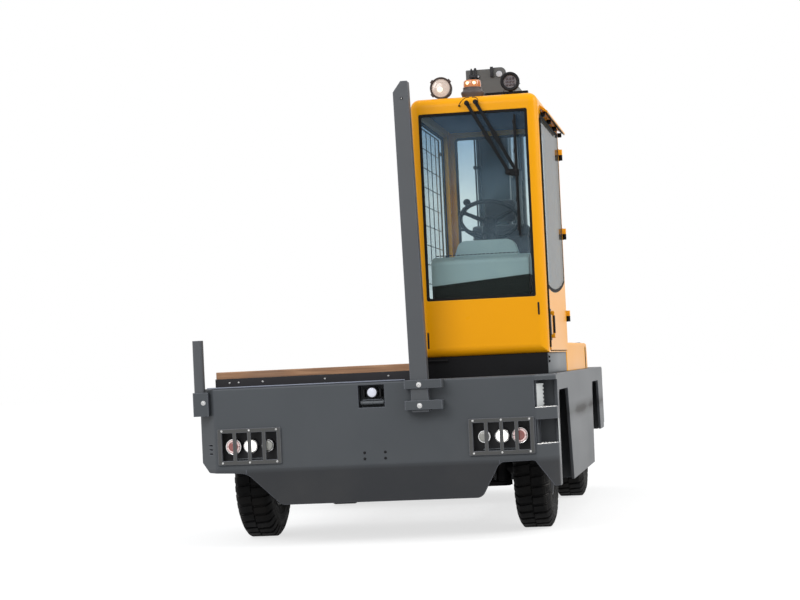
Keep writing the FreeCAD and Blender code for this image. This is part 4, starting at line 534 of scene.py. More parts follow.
def bridge(form, rings, closed_along=False, caps=True):
    """Skins a row of vertex rings."""
    count = len(rings[0])
    pairs = list(zip(rings, rings[1:])) + ([(rings[-1], rings[0])] if closed_along else [])
    for here, there in pairs:
        for i in range(count):
            j = (i + 1) % count
            form.faces.new((here[i], here[j], there[j], there[i]))
    if caps and not closed_along:
        form.faces.new(rings[0][::-1])
        form.faces.new(rings[-1])


def lathe(form, profile, origin, axis, sides=48, loop=False, caps=True):
    """Turns a profile of (radius, distance along the axis) round the axis."""
    origin, axis = Vector(origin), Vector(axis).normalized()
    first, second = across_of(axis)
    rings = []
    for radius, along in profile:
        ring = []
        for i in range(sides):
            angle = math.tau * i / sides
            out = first * math.cos(angle) + second * math.sin(angle)
            ring.append(form.verts.new(origin + axis * along + out * max(radius, 0.00005)))
        rings.append(ring)
    bridge(form, rings, loop, caps)


def block(form, lo, hi, bevel=0.002, steps=2, turn=None):
    """A box with rounded edges, turned about its middle if a matrix is given."""
    lo, hi = Vector(lo), Vector(hi)
    middle, size = (lo + hi) / 2, hi - lo
    made = bmesh.ops.create_cube(form, size=1.0)["verts"]
    bmesh.ops.scale(form, vec=size, verts=made)
    if bevel:
        edges = {edge for vert in made for edge in vert.link_edges}
        result = bmesh.ops.bevel(
            form, geom=list(edges), offset=min(bevel, min(size) * 0.45), segments=steps, affect="EDGES",
            profile=0.5
        )
        kept = {vert for vert in made if vert.is_valid}
        made = list({vert for face in result["faces"] for vert in face.verts} | kept)
    if turn is not None:
        bmesh.ops.rotate(form, cent=(0, 0, 0), matrix=turn, verts=made)
    bmesh.ops.translate(form, vec=middle, verts=made)
    return made


def tube(form, points, radius, sides=12, closed=False, caps=True):
    """Sweeps a round section along a line of points."""
    points = [Vector(p) for p in points]
    count = len(points)
    rings, first = [], None
    for i, point in enumerate(points):
        before = points[(i - 1) % count] if closed or i > 0 else point
        after = points[(i + 1) % count] if closed or i < count - 1 else point
        ahead = (after - before).normalized()
        if first is None:
            first = across_of(ahead)[0]
        first = (first - ahead * first.dot(ahead)).normalized()
        second = ahead.cross(first)
        ring = []
        for k in range(sides):
            angle = math.tau * k / sides
            out = first * math.cos(angle) + second * math.sin(angle)
            ring.append(form.verts.new(point + out * radius))
        rings.append(ring)
    bridge(form, rings, closed, caps)


def slab(form, outline, low, high, place, bevel=0.0):
    """Extrudes a flat outline of (u, v) from low to high; place(u, v, w) gives each point."""
    bottom = [form.verts.new(place(u, v, low)) for u, v in outline]
    top = [form.verts.new(place(u, v, high)) for u, v in outline]
    bridge(form, [bottom, top])
    if bevel:
        rim = [e for e in form.edges if e.verts[0] in top and e.verts[1] in top]
        bmesh.ops.bevel(form, geom=rim, offset=bevel, segments=2, affect="EDGES", profile=0.5)


def band(form, outer, inner, low, high, place):
    """A closed flat frame between two outlines with the same number of points."""
    rings = []
    for outline, level in ((outer, low), (outer, high), (inner, high), (inner, low)):
        rings.append([form.verts.new(place(u, v, level)) for u, v in outline])
    bridge(form, rings, closed_along=True, caps=False)


def rounded(u0, u1, v0, v1, radius, steps=6):
    """A rectangle's outline with round corners."""
    corners = ((u1 - radius, v1 - radius, 0), (u0 + radius, v1 - radius, 1),
               (u0 + radius, v0 + radius, 2), (u1 - radius, v0 + radius, 3))
    points = []
    for u, v, quarter in corners:
        for i in range(steps + 1):
            angle = (quarter + i / steps) * math.pi / 2
            points.append((u + radius * math.cos(angle), v + radius * math.sin(angle)))
    return points


def on_y(u, v, w):
    """Places an outline that faces along Y."""
    return (u, w, v)


def on_x(u, v, w):
    """Places an outline that faces along X."""
    return (w, u, v)


def smooth_line(points, steps=8):
    """A smooth line through a few points."""
    points = [Vector(p) for p in points]
    ends = [points[0] * 2 - points[1]] + points + [points[-1] * 2 - points[-2]]
    line = []
    for a, b, c, d in zip(ends, ends[1:], ends[2:], ends[3:]):
        for i in range(steps):
            t = i / steps
            square, cube = 2 * a - 5 * b + 4 * c - d, 3 * b - a - 3 * c + d
            line.append(0.5 * (2 * b + (c - a) * t + square * t * t + cube * t ** 3))
    return line + [points[-1]]


def hexagon_bolt(form, at, normal, size=0.016, washer=True):
    """A hexagon head with a chamfered top, on a washer."""
    at, normal = Vector(at), Vector(normal).normalized()
    first, second = across_of(normal)
    if washer:
        lathe(form, [(size * 0.95, 0.0), (size * 0.95, size * 0.13), (size * 0.5, size * 0.13)], at, normal,
              24)
    rings = []
    for radius, along in ((0.577, 0.0), (0.577, 0.5), (0.50, 0.62), (0.3, 0.62)):
        ring = []
        for i in range(6):
            angle = math.tau * i / 6
            out = (first * math.cos(angle) + second * math.sin(angle)) * radius * size
            ring.append(form.verts.new(at + out + normal * size * (along + 0.12)))
        rings.append(ring)
    bridge(form, rings)


def dome_bolt(form, at, normal, radius=0.009):
    """A round-headed bolt with a socket in its head."""
    profile = [(radius * 1.35, 0.0), (radius * 1.35, radius * 0.18), (radius, radius * 0.18)]
    profile += [(radius * math.cos(a), radius * (0.18 + 0.75 * math.sin(a))) for a in (0.3, 0.6, 0.9, 1.15)]
    profile += [(radius * 0.3, radius * 0.9), (radius * 0.3, radius * 0.4)]
    lathe(form, profile, at, normal, 20)


def finish(name, form, material, body, angle=38.0, hides=()):
    """Makes an object from a form, with its hard edges kept hard, and lets it ride on a body."""
    bmesh.ops.recalc_face_normals(form, faces=form.faces)
    limit = math.radians(angle)
    for face in form.faces:
        face.smooth = True
    for edge in form.edges:
        edge.smooth = len(edge.link_faces) == 2 and edge.calc_face_angle(0.0) < limit
    mesh = bpy.data.meshes.new(name)
    form.to_mesh(mesh)
    form.free()
    mesh.materials.append(material)
    made = bpy.data.objects.new(name, mesh)
    bpy.context.scene.collection.objects.link(made)
    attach(made, body)
    if hides:
        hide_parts(*hides)
    return made


def trim(name, form, material, body="chassis"):
    """Finishes a piece of plastic or rubber trim."""
    return finish(name, form, material, body)


def fitting(name, form, material, body="chassis"):
    """Finishes a small metal piece."""
    return finish(name, form, material, body)


def body_of(name):
    """The body that a CAD node rides on."""
    return next(body for body, nodes in BODIES.items() if name in nodes)


# ---------------------------------------------------------------- wheels
LUGS = 36
LUG_DEPTH = 0.013
HUB_FACE_IN = 0.0485


def tyre(name, rim):
    """A tyre with a ribbed sidewall and two rows of shoulder lugs, in the places of the CAD tyre's lugs."""
    (lo, hi), (rim_lo, rim_hi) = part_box(name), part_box(rim)
    middle, radius, half = (lo + hi) / 2, (hi.z - lo.z) / 2, (hi.x - lo.x) / 2
    bead = (rim_hi.z - rim_lo.z) / 2 + 0.001
    floor = radius - LUG_DEPTH
    wall = [
        (bead, 0.018), (bead + 0.004, 0.008), (bead + 0.014, 0.007), (bead + 0.018, 0.013),
        (bead + 0.040, 0.0085),
        (bead + 0.058, 0.005), (bead + 0.060, 0.0025), (bead + 0.064, 0.0025), (bead + 0.066, 0.0045),
        (bead + 0.100, 0.002), (bead + 0.102, 0.0005), (bead + 0.106, 0.0005), (bead + 0.108, 0.002),
        (radius - 0.070, 0.0015), (radius - 0.044, 0.013), (floor - 0.006, 0.030), (floor, 0.044),
    ]
    profile = [(r, depth - half) for r, depth in wall] + [(r, half - depth) for r, depth in reversed(wall)]
    form = bmesh.new()
    lathe(form, profile, middle, ACROSS, 144, loop=True)
    stations = (
        (0.004, radius, floor - 0.003, 1.4, 4.0), (0.045, radius, floor - 0.003, 0.7, 3.75),
        (half - 0.038, radius, floor - 0.004, 0.0, 3.7),
        (half - 0.030, radius - 0.004, floor - 0.010, 0.0, 3.7),
        (half - 0.014, radius - 0.026, radius - 0.048, 0.0, 3.6),
        (half, radius - 0.062, radius - 0.074, 0.0, 3.3),
    )
    for side in (-1, 1):
        for i in range(LUGS):
            rings = []
            for x, top, base, shift, wide in stations:
                ring = []
                for share, r in ((-1, base), (-0.86, top), (0, top), (0.86, top), (1, base)):
                    angle = math.radians(i * 360.0 / LUGS + side * shift + share * wide)
                    out = Vector((side * x, r * math.sin(angle), -r * math.cos(angle)))
                    ring.append(form.verts.new(middle + out))
                rings.append(ring)
            bridge(form, rings)
    return finish(name + "_tread", form, MATERIALS["tyre_rubber"], body_of(name), 30, [name])


def wheel_fittings(name, rim):
    """Eight wheel nuts and the valve."""
    lo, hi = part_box(rim)
    side = 1 if lo.x > 0 else -1
    middle = (lo + hi) / 2
    face = (hi.x - HUB_FACE_IN) if side > 0 else (lo.x + HUB_FACE_IN)
    form = bmesh.new()
    for i in range(8):
        angle = math.tau * (i + 0.5) / 8
        at = (face, middle.y + 0.076 * math.cos(angle), middle.z + 0.076 * math.sin(angle))
        hexagon_bolt(form, at, (side, 0, 0), 0.020)
    valve = [(face - side * 0.030, middle.y, middle.z + 0.165),
             (face - side * 0.012, middle.y, middle.z + 0.166),
             (face + side * 0.020, middle.y, middle.z + 0.172)]
    tube(form, smooth_line(valve, 4), 0.004, 8)
    finish(name, form, METAL["zinc"], body_of(rim), 30)


# ---------------------------------------------------------------- front lamps and guards
LAMP_PITCH = 0.117
LAMP_RADII = (0.040, 0.046, 0.052)
LAMP_SET_BACK = 0.005
GUARD_RIM = 0.014


def lens_profile(radius, bulge):
    """The half section of a lens that swells in the middle."""
    return [(radius, 0.0), (radius, 0.002)] + [
        (radius * math.cos(a), 0.002 + bulge * math.sin(a)) for a in (0.25, 0.5, 0.75, 1.0, 1.25, 1.45)
    ] + [(0.0, 0.002 + bulge)]


def head_lamp_faces():
    """The glass of the six front lamps: dull inside, white in the middle, and red in a lit ring outside."""
    for lo, hi in solids("head_lamps"):
        side = 1 if lo.x > 0 else -1
        name = "cab" if side > 0 else "load"
        centre_x, z, y = (lo.x + hi.x) / 2, (lo.z + hi.z) / 2, lo.y + LAMP_SET_BACK
        bezels = bmesh.new()
        for i, radius in enumerate(LAMP_RADII):
            x = centre_x + side * (i - 1) * LAMP_PITCH
            lathe(bezels, [(radius - 0.0005, 0.0), (radius + 0.001, 0.003), (radius - 0.002, 0.005),
                           (radius - 0.006, 0.003), (radius - 0.007, 0.0)], (x, y + 0.001, z), FORWARD, 40,
                           loop=True)
            form = bmesh.new()
            glass_radius = radius - 0.0075
            if i == 2:
                lathe(form, lens_profile(glass_radius * 0.68, 0.006), (x, y + 0.001, z), FORWARD, 36)
                finish(f"lamp_red_{name}", form, LAMP["red"], "chassis")
                form = bmesh.new()
                for k in range(4):
                    start = math.radians(2 + 90 * k)
                    arc = [start + math.radians(84) * t / 12 for t in range(13)]
                    middle = glass_radius * 0.84
                    path = [(x + middle * math.cos(a), y - 0.003, z + middle * math.sin(a)) for a in arc]
                    tube(form, path, glass_radius * 0.15, 10)
                finish(f"lamp_ring_{name}", form, LAMP["ring"], "chassis")
            else:
                lathe(form, lens_profile(glass_radius, 0.007), (x, y + 0.001, z), FORWARD, 40)
                kind = "dull" if i == 0 else "white"
                finish(f"lamp_{kind}_{name}", form, LAMP[kind], "chassis")
        fitting(f"lamp_bezels_{name}", bezels, METAL["chrome"])
        shelf = bmesh.new()
        block(shelf, (centre_x - 0.13, lo.y + 0.028, z - 0.088), (centre_x + 0.10, lo.y + 0.052, z - 0.080),
              0.002)
        block(shelf, (centre_x - 0.10, lo.y + 0.030, z - 0.110), (centre_x + 0.07, lo.y + 0.050, z - 0.096),
              0.002)
        for t in range(5):
            tube(shelf, [(centre_x - 0.08 + t * 0.035, lo.y + 0.040, z - 0.098),
                         (centre_x - 0.08 + t * 0.035, lo.y + 0.040, z - 0.082)], 0.003, 8)
        fitting(f"lamp_carrier_{name}", shelf, PAINT["mid_grey"])


def front_bolts():
    """Bright bolts in the guards, post straps, corner bracket, bolster channel and tall post."""
    form = bmesh.new()
    for lo, hi in solids("lamp_guards"):
        for share in (0.07, 0.5, 0.93):
            for z in (lo.z + GUARD_RIM, hi.z - GUARD_RIM):
                dome_bolt(form, (lo.x + (hi.x - lo.x) * share, lo.y, z), FORWARD, 0.0052)
    brackets = solids("post_brackets")
    post = solids("load_posts")[-1]
    for lo, hi in brackets[1:]:
        dome_bolt(form, (post[1].x - 0.060, lo.y, (lo.z + hi.z) / 2 - 0.004), FORWARD, 0.0125)
    lo, hi = brackets[0]
    dome_bolt(form, (lo.x + 0.072, lo.y, (lo.z + hi.z) / 2 + 0.010), FORWARD, 0.0115)
    lo, hi = solids("bolster_channels")[0]
    for share in (0.07, 0.115, 0.235, 0.54, 0.85, 0.975):
        dome_bolt(form, (lo.x + share * (hi.x - lo.x), lo.y, lo.z + 0.034), FORWARD, 0.0045)
    lo, hi = post
    dome_bolt(form, (lo.x + 0.056, lo.y - 0.0005, hi.z - 0.114), FORWARD, 0.0045)
    fitting("front_bolts", form, METAL["zinc"])


def sensor_lens():
    """The front sensor's lens in its ring, with a faint glow of painted light, a wing at each side, and the
    round bar under it.
    """
    lo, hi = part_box("front_sensor")
    x, z = (lo.x + hi.x) / 2, hi.z - 0.054
    form = bmesh.new()
    lathe(form, lens_profile(0.031, 0.006), (x, lo.y + 0.010, z), FORWARD, 40)
    # the sensor is no lamp, so the lens's glow is painted light
    finish("front_lens", form, LAMP["sensor_glow"], "chassis")
    ring = bmesh.new()
    lathe(ring, [(0.038, 0.0), (0.040, 0.003), (0.037, 0.006), (0.033, 0.004), (0.032, 0.0)],
          (x, lo.y + 0.010, z), FORWARD, 40, loop=True)
    for side in (-1, 1):
        block(ring, (x + side * 0.055 - 0.006, lo.y + 0.012, z - 0.03),
              (x + side * 0.055 + 0.006, lo.y + 0.08, z + 0.02), 0.002)
    trim("front_lens_ring", ring, PLAIN["black"])
    bar = bmesh.new()
    tube(bar, [(lo.x + 0.012, lo.y + 0.020, lo.z + 0.035), (hi.x - 0.012, lo.y + 0.020, lo.z + 0.035)],
         0.014, 24)
    for share in (0.12, 0.5, 0.88):
        at = lo.x + (hi.x - lo.x) * share
        tube(bar, [(at - 0.004, lo.y + 0.020, lo.z + 0.035), (at + 0.004, lo.y + 0.020, lo.z + 0.035)],
             0.0155, 24)
    finish("sensor_bar", bar, PAINT["mid_grey"], "chassis")


# ---------------------------------------------------------------- steps and plinth
STEP_FLOORS = tuple(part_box("steps")[0].z + rise for rise in (0.014, 0.251))


def step_grips():
    """Punched grips on the treads, a bright worn edge on each, and the galvanised guide behind them."""
    lo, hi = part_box("steps")
    grips, edges = bmesh.new(), bmesh.new()
    face_x, out_x = lo.x + 0.012, hi.x
    for z in STEP_FLOORS:
        front = [(face_x - 0.010, lo.y - 0.017, z), (face_x + 0.030, lo.y + 0.022, z),
                 (out_x + 0.008, hi.y - 0.082, z),
                 (out_x + 0.012, hi.y - 0.070, z)]
        tube(edges, smooth_line(front, 5), 0.0035, 8)
        for row in range(4):
            for k in range(5):
                x = face_x + 0.012 + k * 0.021
                y = lo.y + 0.075 + row * 0.030 + 0.010 * (k % 2)
                if x - face_x < y - lo.y - 0.01:
                    lathe(grips, [(0.0075, 0.0), (0.0065, 0.004), (0.004, 0.005), (0.004, 0.001)],
                          (x, y, z), UPWARD, 14)
    fitting("step_grips", grips, METAL["zinc"])
    fitting("step_edges", edges, METAL["zinc"])
    guide = bmesh.new()
    z0, z1 = STEP_FLOORS[1] + 0.004, STEP_FLOORS[1] + 0.155
    near, far = Vector((lo.x + 0.012, lo.y + 0.020, 0)), Vector((lo.x + 0.050, lo.y + 0.110, 0))
    along = (far - near).normalized()
    side = Vector((along.y, -along.x, 0)) * 0.0015
    for i in range(12):
        base = z0 + (z1 - z0) * i / 12
        top = base + (z1 - z0) / 12
        wide = far if i % 2 else far - along * 0.012
        ring_low = [near - side, wide - side, wide + side, near + side]
        rings = [[guide.verts.new((p.x, p.y, level)) for p in ring_low] for level in (base, top)]
        bridge(guide, rings)
    fitting("step_guide", guide, METAL["galvanised"])


def plinth_side():
    """The grey plate on the cab side of the plinth, with its two bolts."""
    # The plinth keeps the black frame paint, painted shade for its recessed front; this plate makes its cab
    # side grey.
    lo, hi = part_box("cab_base")
    form = bmesh.new()
    block(form, (hi.x, lo.y + 0.002, lo.z + 0.001), (hi.x + 0.004, hi.y - 0.002, hi.z - 0.001), 0.001)
    finish("plinth_plate", form, PAINT["mid_grey"], "chassis")
    bolts = bmesh.new()
    for z in (hi.z - 0.030, hi.z - 0.058):
        hexagon_bolt(bolts, (hi.x + 0.004, lo.y + 0.030, z), ACROSS, 0.015)
    trim("plinth_bolts", bolts, PLAIN["black"])


# ---------------------------------------------------------------- cab outside
SEAL = 0.017


def cab_seals():
    """Black rubber round the three fixed panes, outside and inside."""
    form = bmesh.new()
    for lo, hi in solids("cab_glass"):
        size = hi - lo
        if size.x < size.y:
            face, place, u0, u1 = lo.x, on_x, lo.y, hi.y
            levels = ((face - 0.004, face), (hi.x, hi.x + 0.006))
        else:
            front = lo.y < (CAB_LO.y + CAB_HI.y) / 2
            face, place, u0, u1 = (lo.y if front else hi.y), on_y, lo.x, hi.x
            out = -0.004 if front else 0.004
            levels = (sorted((face, face + out)),
                      sorted(((hi.y, hi.y + 0.006) if front else (lo.y - 0.006, lo.y))))
        for a, b in levels:
            outer = rounded(u0 - 0.0002, u1 + 0.0002, lo.z - 0.0002, hi.z + 0.0002, 0.014)
            inner = rounded(u0 + SEAL, u1 - SEAL, lo.z + SEAL, hi.z - SEAL, 0.012)
            band(form, outer, inner, a, b, place)
    trim("window_seals", form, RUBBER)


DOOR_WAVE = ((0.0, 0.428), (0.28, 0.406), (0.58, 0.424), (0.82, 0.470), (1.0, 0.535))


def door_trim():
    """The black border printed round the door's glass, and the rubber along the door's edge."""
    (glass_lo, glass_hi), (lo, hi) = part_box("door_glass"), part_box("door_panel")
    y0, y1, z1 = glass_lo.y, glass_hi.y, glass_hi.z
    start, end = y0 - 0.026, hi.y + 0.045
    floor = CAB_LO.z
    wave = smooth_line([(0, start + s * (end - start), floor + r) for s, r in DOOR_WAVE], 10)
    low = [(p.y, p.z + 0.002) for p in wave if y0 < p.y < y1]
    outer = [(y0, low[0][1])] + low + [(y1, low[-1][1]), (y1, z1), (y0 + 0.030, z1), (y0, z1 - 0.030)]
    edge = 0.022
    inner = [(y0 + edge, low[0][1] + edge)]
    inner += [(min(max(u, y0 + edge), y1 - edge), v + edge) for u, v in low]
    inner += [(y1 - edge, low[-1][1] + edge), (y1 - edge, z1 - edge), (y0 + 0.034, z1 - edge),
              (y0 + edge, z1 - 0.034)]
    form = bmesh.new()
    band(form, outer, inner, glass_hi.x + 0.0002, glass_hi.x + 0.0014, on_x)
    finish("door_glass_border", form, RUBBER, "door", 60)
    rubber_edge = bmesh.new()
    z0 = lo.z
    outline = rounded(y0 - 0.0045, y1 + 0.0605, z0 - 0.0045, z1 + 0.0045, 0.036)
    inside = rounded(y0 + 0.0003, y1 + 0.0557, z0 + 0.0003, z1 - 0.0003, 0.032)
    band(rubber_edge, outline, inside, glass_hi.x - 0.030, glass_hi.x - 0.016, on_x)
    finish("door_edge_rubber", rubber_edge, RUBBER, "door", 60)


def cab_front_details():
    """The two upright rubber stops in the front, and a black sheet with its brackets under the visor,
    painted shade for the underside of the roof's overhang.
    """
    lo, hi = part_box("cab_shell")
    stops = bmesh.new()
    for x, low, high in ((lo.x + 0.055, 0.058, 0.165), (hi.x - 0.106, 0.250, 0.332)):
        block(stops, (x - 0.006, lo.y - 0.003, lo.z + low), (x + 0.006, lo.y + 0.004, lo.z + high), 0.003)
    trim("front_stops", stops, PLAIN["black"])
    # painted shade: a black sheet under the roof's overhang over the door
    shade_sheet = bmesh.new()
    wall_x, out_x = hi.x - 0.052, hi.x
    y0, y1 = lo.y + 0.192, hi.y - 0.002
    top, edge = hi.z - 0.0725, hi.z - 0.1245
    section = [(wall_x + 0.0005, top - 0.002), (out_x - 0.003, edge - 0.003), (out_x - 0.003, edge - 0.006),
               (wall_x + 0.0005, top - 0.012)]
    rings = [[shade_sheet.verts.new((x, y, z)) for x, z in section] for y in (y0, y1)]
    bridge(shade_sheet, rings)
    for share in (0.03, 0.35, 0.66, 0.97):
        y = y0 + (y1 - y0) * share
        block(shade_sheet, (wall_x + 0.001, y - 0.012, edge - 0.020), (wall_x + 0.030, y + 0.012, edge + 0.012),
              0.003)
    trim("visor_shade_sheet", shade_sheet, PLAIN["black"])


def roof_lamps():
    """The big pale work lamp with its clamps, and the small one with a grid of diodes."""
    (big_lo, big_hi), (small_lo, small_hi) = solids("work_lamps")
    radius = (big_hi.x - big_lo.x) / 2
    centre = Vector(((big_lo.x + big_hi.x) / 2, big_lo.y, big_hi.z - radius))
    glass = bmesh.new()
    lathe(glass, [(radius - 0.008, 0.0), (radius - 0.008, 0.003), (radius * 0.80, 0.006),
                  (radius * 0.78, 0.004),
                  (radius * 0.55, 0.009), (radius * 0.5, 0.007), (radius * 0.3, 0.010), (0.0, 0.011)],
          centre + Vector((0, 0.0045, 0)), FORWARD, 56)
    finish("roof_lamp_glass", glass, LAMP["roof"], "chassis", 20)
    spots = bmesh.new()
    bowl = centre + Vector((-0.006, -0.0045, -0.010))
    lathe(spots, lens_profile(0.020, 0.003), bowl, FORWARD, 28)
    finish("roof_lamp_bulb", spots, LAMP["roof_bulb"], "chassis")
    rim = bmesh.new()
    lathe(rim, [(radius + 0.003, -0.006), (radius + 0.004, 0.002), (radius + 0.001, 0.006),
                (radius - 0.006, 0.005),
                (radius - 0.008, 0.001), (radius - 0.007, -0.004)], centre, FORWARD, 56, loop=True)
    lathe(rim, [(radius * 0.96, -0.060), (radius * 0.90, -0.075), (radius * 0.5, -0.090), (0.0, -0.094)],
          centre, FORWARD, 40)
    for angle in (38, 142, 218, 322):
        a = math.radians(angle)
        turn = Matrix.Rotation(-a, 3, "Y")
        at = centre + Vector(((radius + 0.003) * math.cos(a), -0.002, (radius + 0.003) * math.sin(a)))
        block(rim, at - Vector((0.008, 0.008, 0.013)), at + Vector((0.008, 0.012, 0.013)), 0.003, 2, turn)
    trim("roof_lamp_rim", rim, PLAIN["brown_black"])
    radius = (small_hi.x - small_lo.x) / 2
    centre = Vector(((small_lo.x + small_hi.x) / 2, small_lo.y, small_hi.z - radius))
    ring = bmesh.new()
    lathe(ring, [(radius + 0.006, -0.016), (radius + 0.006, 0.003), (radius, 0.007),
                 (radius - 0.010, 0.006),
                 (radius - 0.012, 0.000), (radius - 0.009, -0.012)], centre, FORWARD, 48, loop=True)
    for angle in range(20, 380, 30):
        a = math.radians(angle)
        turn = Matrix.Rotation(-a, 3, "Y")
        at = centre + Vector((radius * 0.98 * math.cos(a), 0.045, radius * 0.98 * math.sin(a)))
        block(ring, at - Vector((0.004, 0.022, 0.002)), at + Vector((0.006, 0.026, 0.002)), 0.001, 1, turn)
    trim("small_lamp_rim", ring, PLAIN["black"])
    face = bmesh.new()
    lathe(face, [(radius * 0.80, 0.0), (radius * 0.80, 0.003), (radius * 0.70, 0.004),
                 (radius * 0.68, 0.001),
                 (0.0, 0.001)], centre + Vector((0, 0.010, 0)), FORWARD, 48)
    finish("small_lamp_ring", face, PLAIN["ring_grey"], "chassis", 20)
    cells = bmesh.new()
    for i in range(-1, 2):
        for k in range(-1, 2):
            at = centre + Vector((i * 0.021, 0.007, k * 0.021))
            block(cells, at - Vector((0.0085, 0.002, 0.0085)), at + Vector((0.0085, 0.003, 0.0085)), 0.003)
            lathe(cells, lens_profile(0.005, 0.003), at + Vector((0, -0.002, 0)), FORWARD, 14)
    finish("small_lamp_cells", cells, PLAIN["diode"], "chassis")


def beacon():
    """The beacon's flared grey foot, its ribbed amber lens and two bright bulbs."""
    lo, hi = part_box("beacon")
    centre = Vector(((lo.x + hi.x) / 2, (lo.y + hi.y) / 2, lo.z))
    foot = bmesh.new()
    lathe(foot, [(0.068, 0.0), (0.068, 0.004), (0.072, 0.016), (0.0775, 0.028), (0.0785, 0.034),
                 (0.0765, 0.040),
                 (0.068, 0.046), (0.064, 0.054), (0.063, 0.060), (0.0635, 0.063), (0.0635, 0.069),
                 (0.060, 0.071)],
          centre, UPWARD, 56)
    finish("beacon_foot", foot, PLAIN["warm_grey"], "chassis", 30, ["beacon"])
    lens = bmesh.new()
    height = hi.z - lo.z
    rings = []
    for along, radius in ((0.0712, 0.058), (0.076, 0.0595), (0.112, 0.0565), (0.118, 0.051),
                          (height - 0.002, 0.030),
                          (height, 0.012)):
        ring = []
        for i in range(72):
            a = math.tau * i / 72
            r = radius * (1.0 if i % 3 else 0.985)
            ring.append(lens.verts.new(centre + Vector((r * math.cos(a), r * math.sin(a), along))))
        rings.append(ring)
    bridge(lens, rings)
    finish("beacon_lens", lens, LAMP["amber"], "chassis", 25, ["beacon"])
    bulbs = bmesh.new()
    for dx in (-0.024, 0.018):
        at = centre + Vector((dx, -0.0565 * math.cos(dx / 0.0565) - 0.0008, 0.096))
        bmesh.ops.create_uvsphere(bulbs, u_segments=20, v_segments=12, radius=0.0115,
                                  matrix=Matrix.Translation(at) @ Matrix.Diagonal((1.1, 0.3, 0.9, 1.0)))
    finish("beacon_bulbs", bulbs, LAMP["amber_bulb"], "chassis")


def wiper_details():
    """The wiper's rubber blade, its clips and nuts, and the two thin washer pipes over the arms."""
    lo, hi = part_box("wiper")
    blade_x = hi.x - 0.020
    blade = bmesh.new()
    y = lo.y
    block(blade, (blade_x - 0.003, y + 0.016, lo.z - 0.002), (blade_x + 0.003, hi.y - 0.004, lo.z + 0.802),
          0.001)
    trim("wiper_rubber", blade, RUBBER)
    parts = bmesh.new()
    for share in (0.06, 0.3, 0.5, 0.7, 0.94):
        z = lo.z + 0.8 * share
        block(parts, (blade_x - 0.010, y + 0.004, z - 0.014), (blade_x + 0.010, y + 0.018, z + 0.014),
              0.003)
    tube(parts, [(blade_x - 0.001, y + 0.006, lo.z + 0.06), (blade_x - 0.001, y + 0.001, lo.z + 0.25),
                 (blade_x - 0.001, y - 0.001, lo.z + 0.40), (blade_x - 0.001, y + 0.001, lo.z + 0.55),
                 (blade_x - 0.001, y + 0.006, lo.z + 0.74)], 0.0045, 10)
    for x, z in ((hi.x - 0.072, lo.z + 0.420), (hi.x - 0.020, lo.z + 0.427)):
        hexagon_bolt(parts, (x, y - 0.001, z), FORWARD, 0.014)
    for start_x in (lo.x + 0.016, lo.x + 0.074):
        hexagon_bolt(parts, (start_x, y - 0.0005, hi.z - 0.019), FORWARD, 0.016)
    trim("wiper_fittings", parts, PLAIN["black"])
    pipes = bmesh.new()
    left, right = lo.x + 0.016, lo.x + 0.074
    tube(pipes, smooth_line([(left - 0.052, y + 0.026, hi.z - 0.032),
                             (left - 0.050, y + 0.012, hi.z - 0.026),
                             (left - 0.030, y + 0.004, hi.z - 0.002),
                             (left - 0.004, y + 0.002, hi.z + 0.014),
                             (left + 0.020, y + 0.006, hi.z + 0.016)], 8), 0.0026, 8)
    tube(pipes, smooth_line([(right - 0.020, y + 0.006, hi.z + 0.016),
                             (right + 0.004, y + 0.002, hi.z + 0.012),
                             (right + 0.018, y + 0.002, hi.z - 0.002),
                             (right + 0.016, y + 0.004, hi.z - 0.018)], 8), 0.0026, 8)
    bmesh.ops.create_uvsphere(pipes, u_segments=14, v_segments=8, radius=0.007,
                              matrix=Matrix.Translation((left - 0.052, y + 0.022, hi.z - 0.034)))
    trim("washer_pipes", pipes, PLAIN["black"])


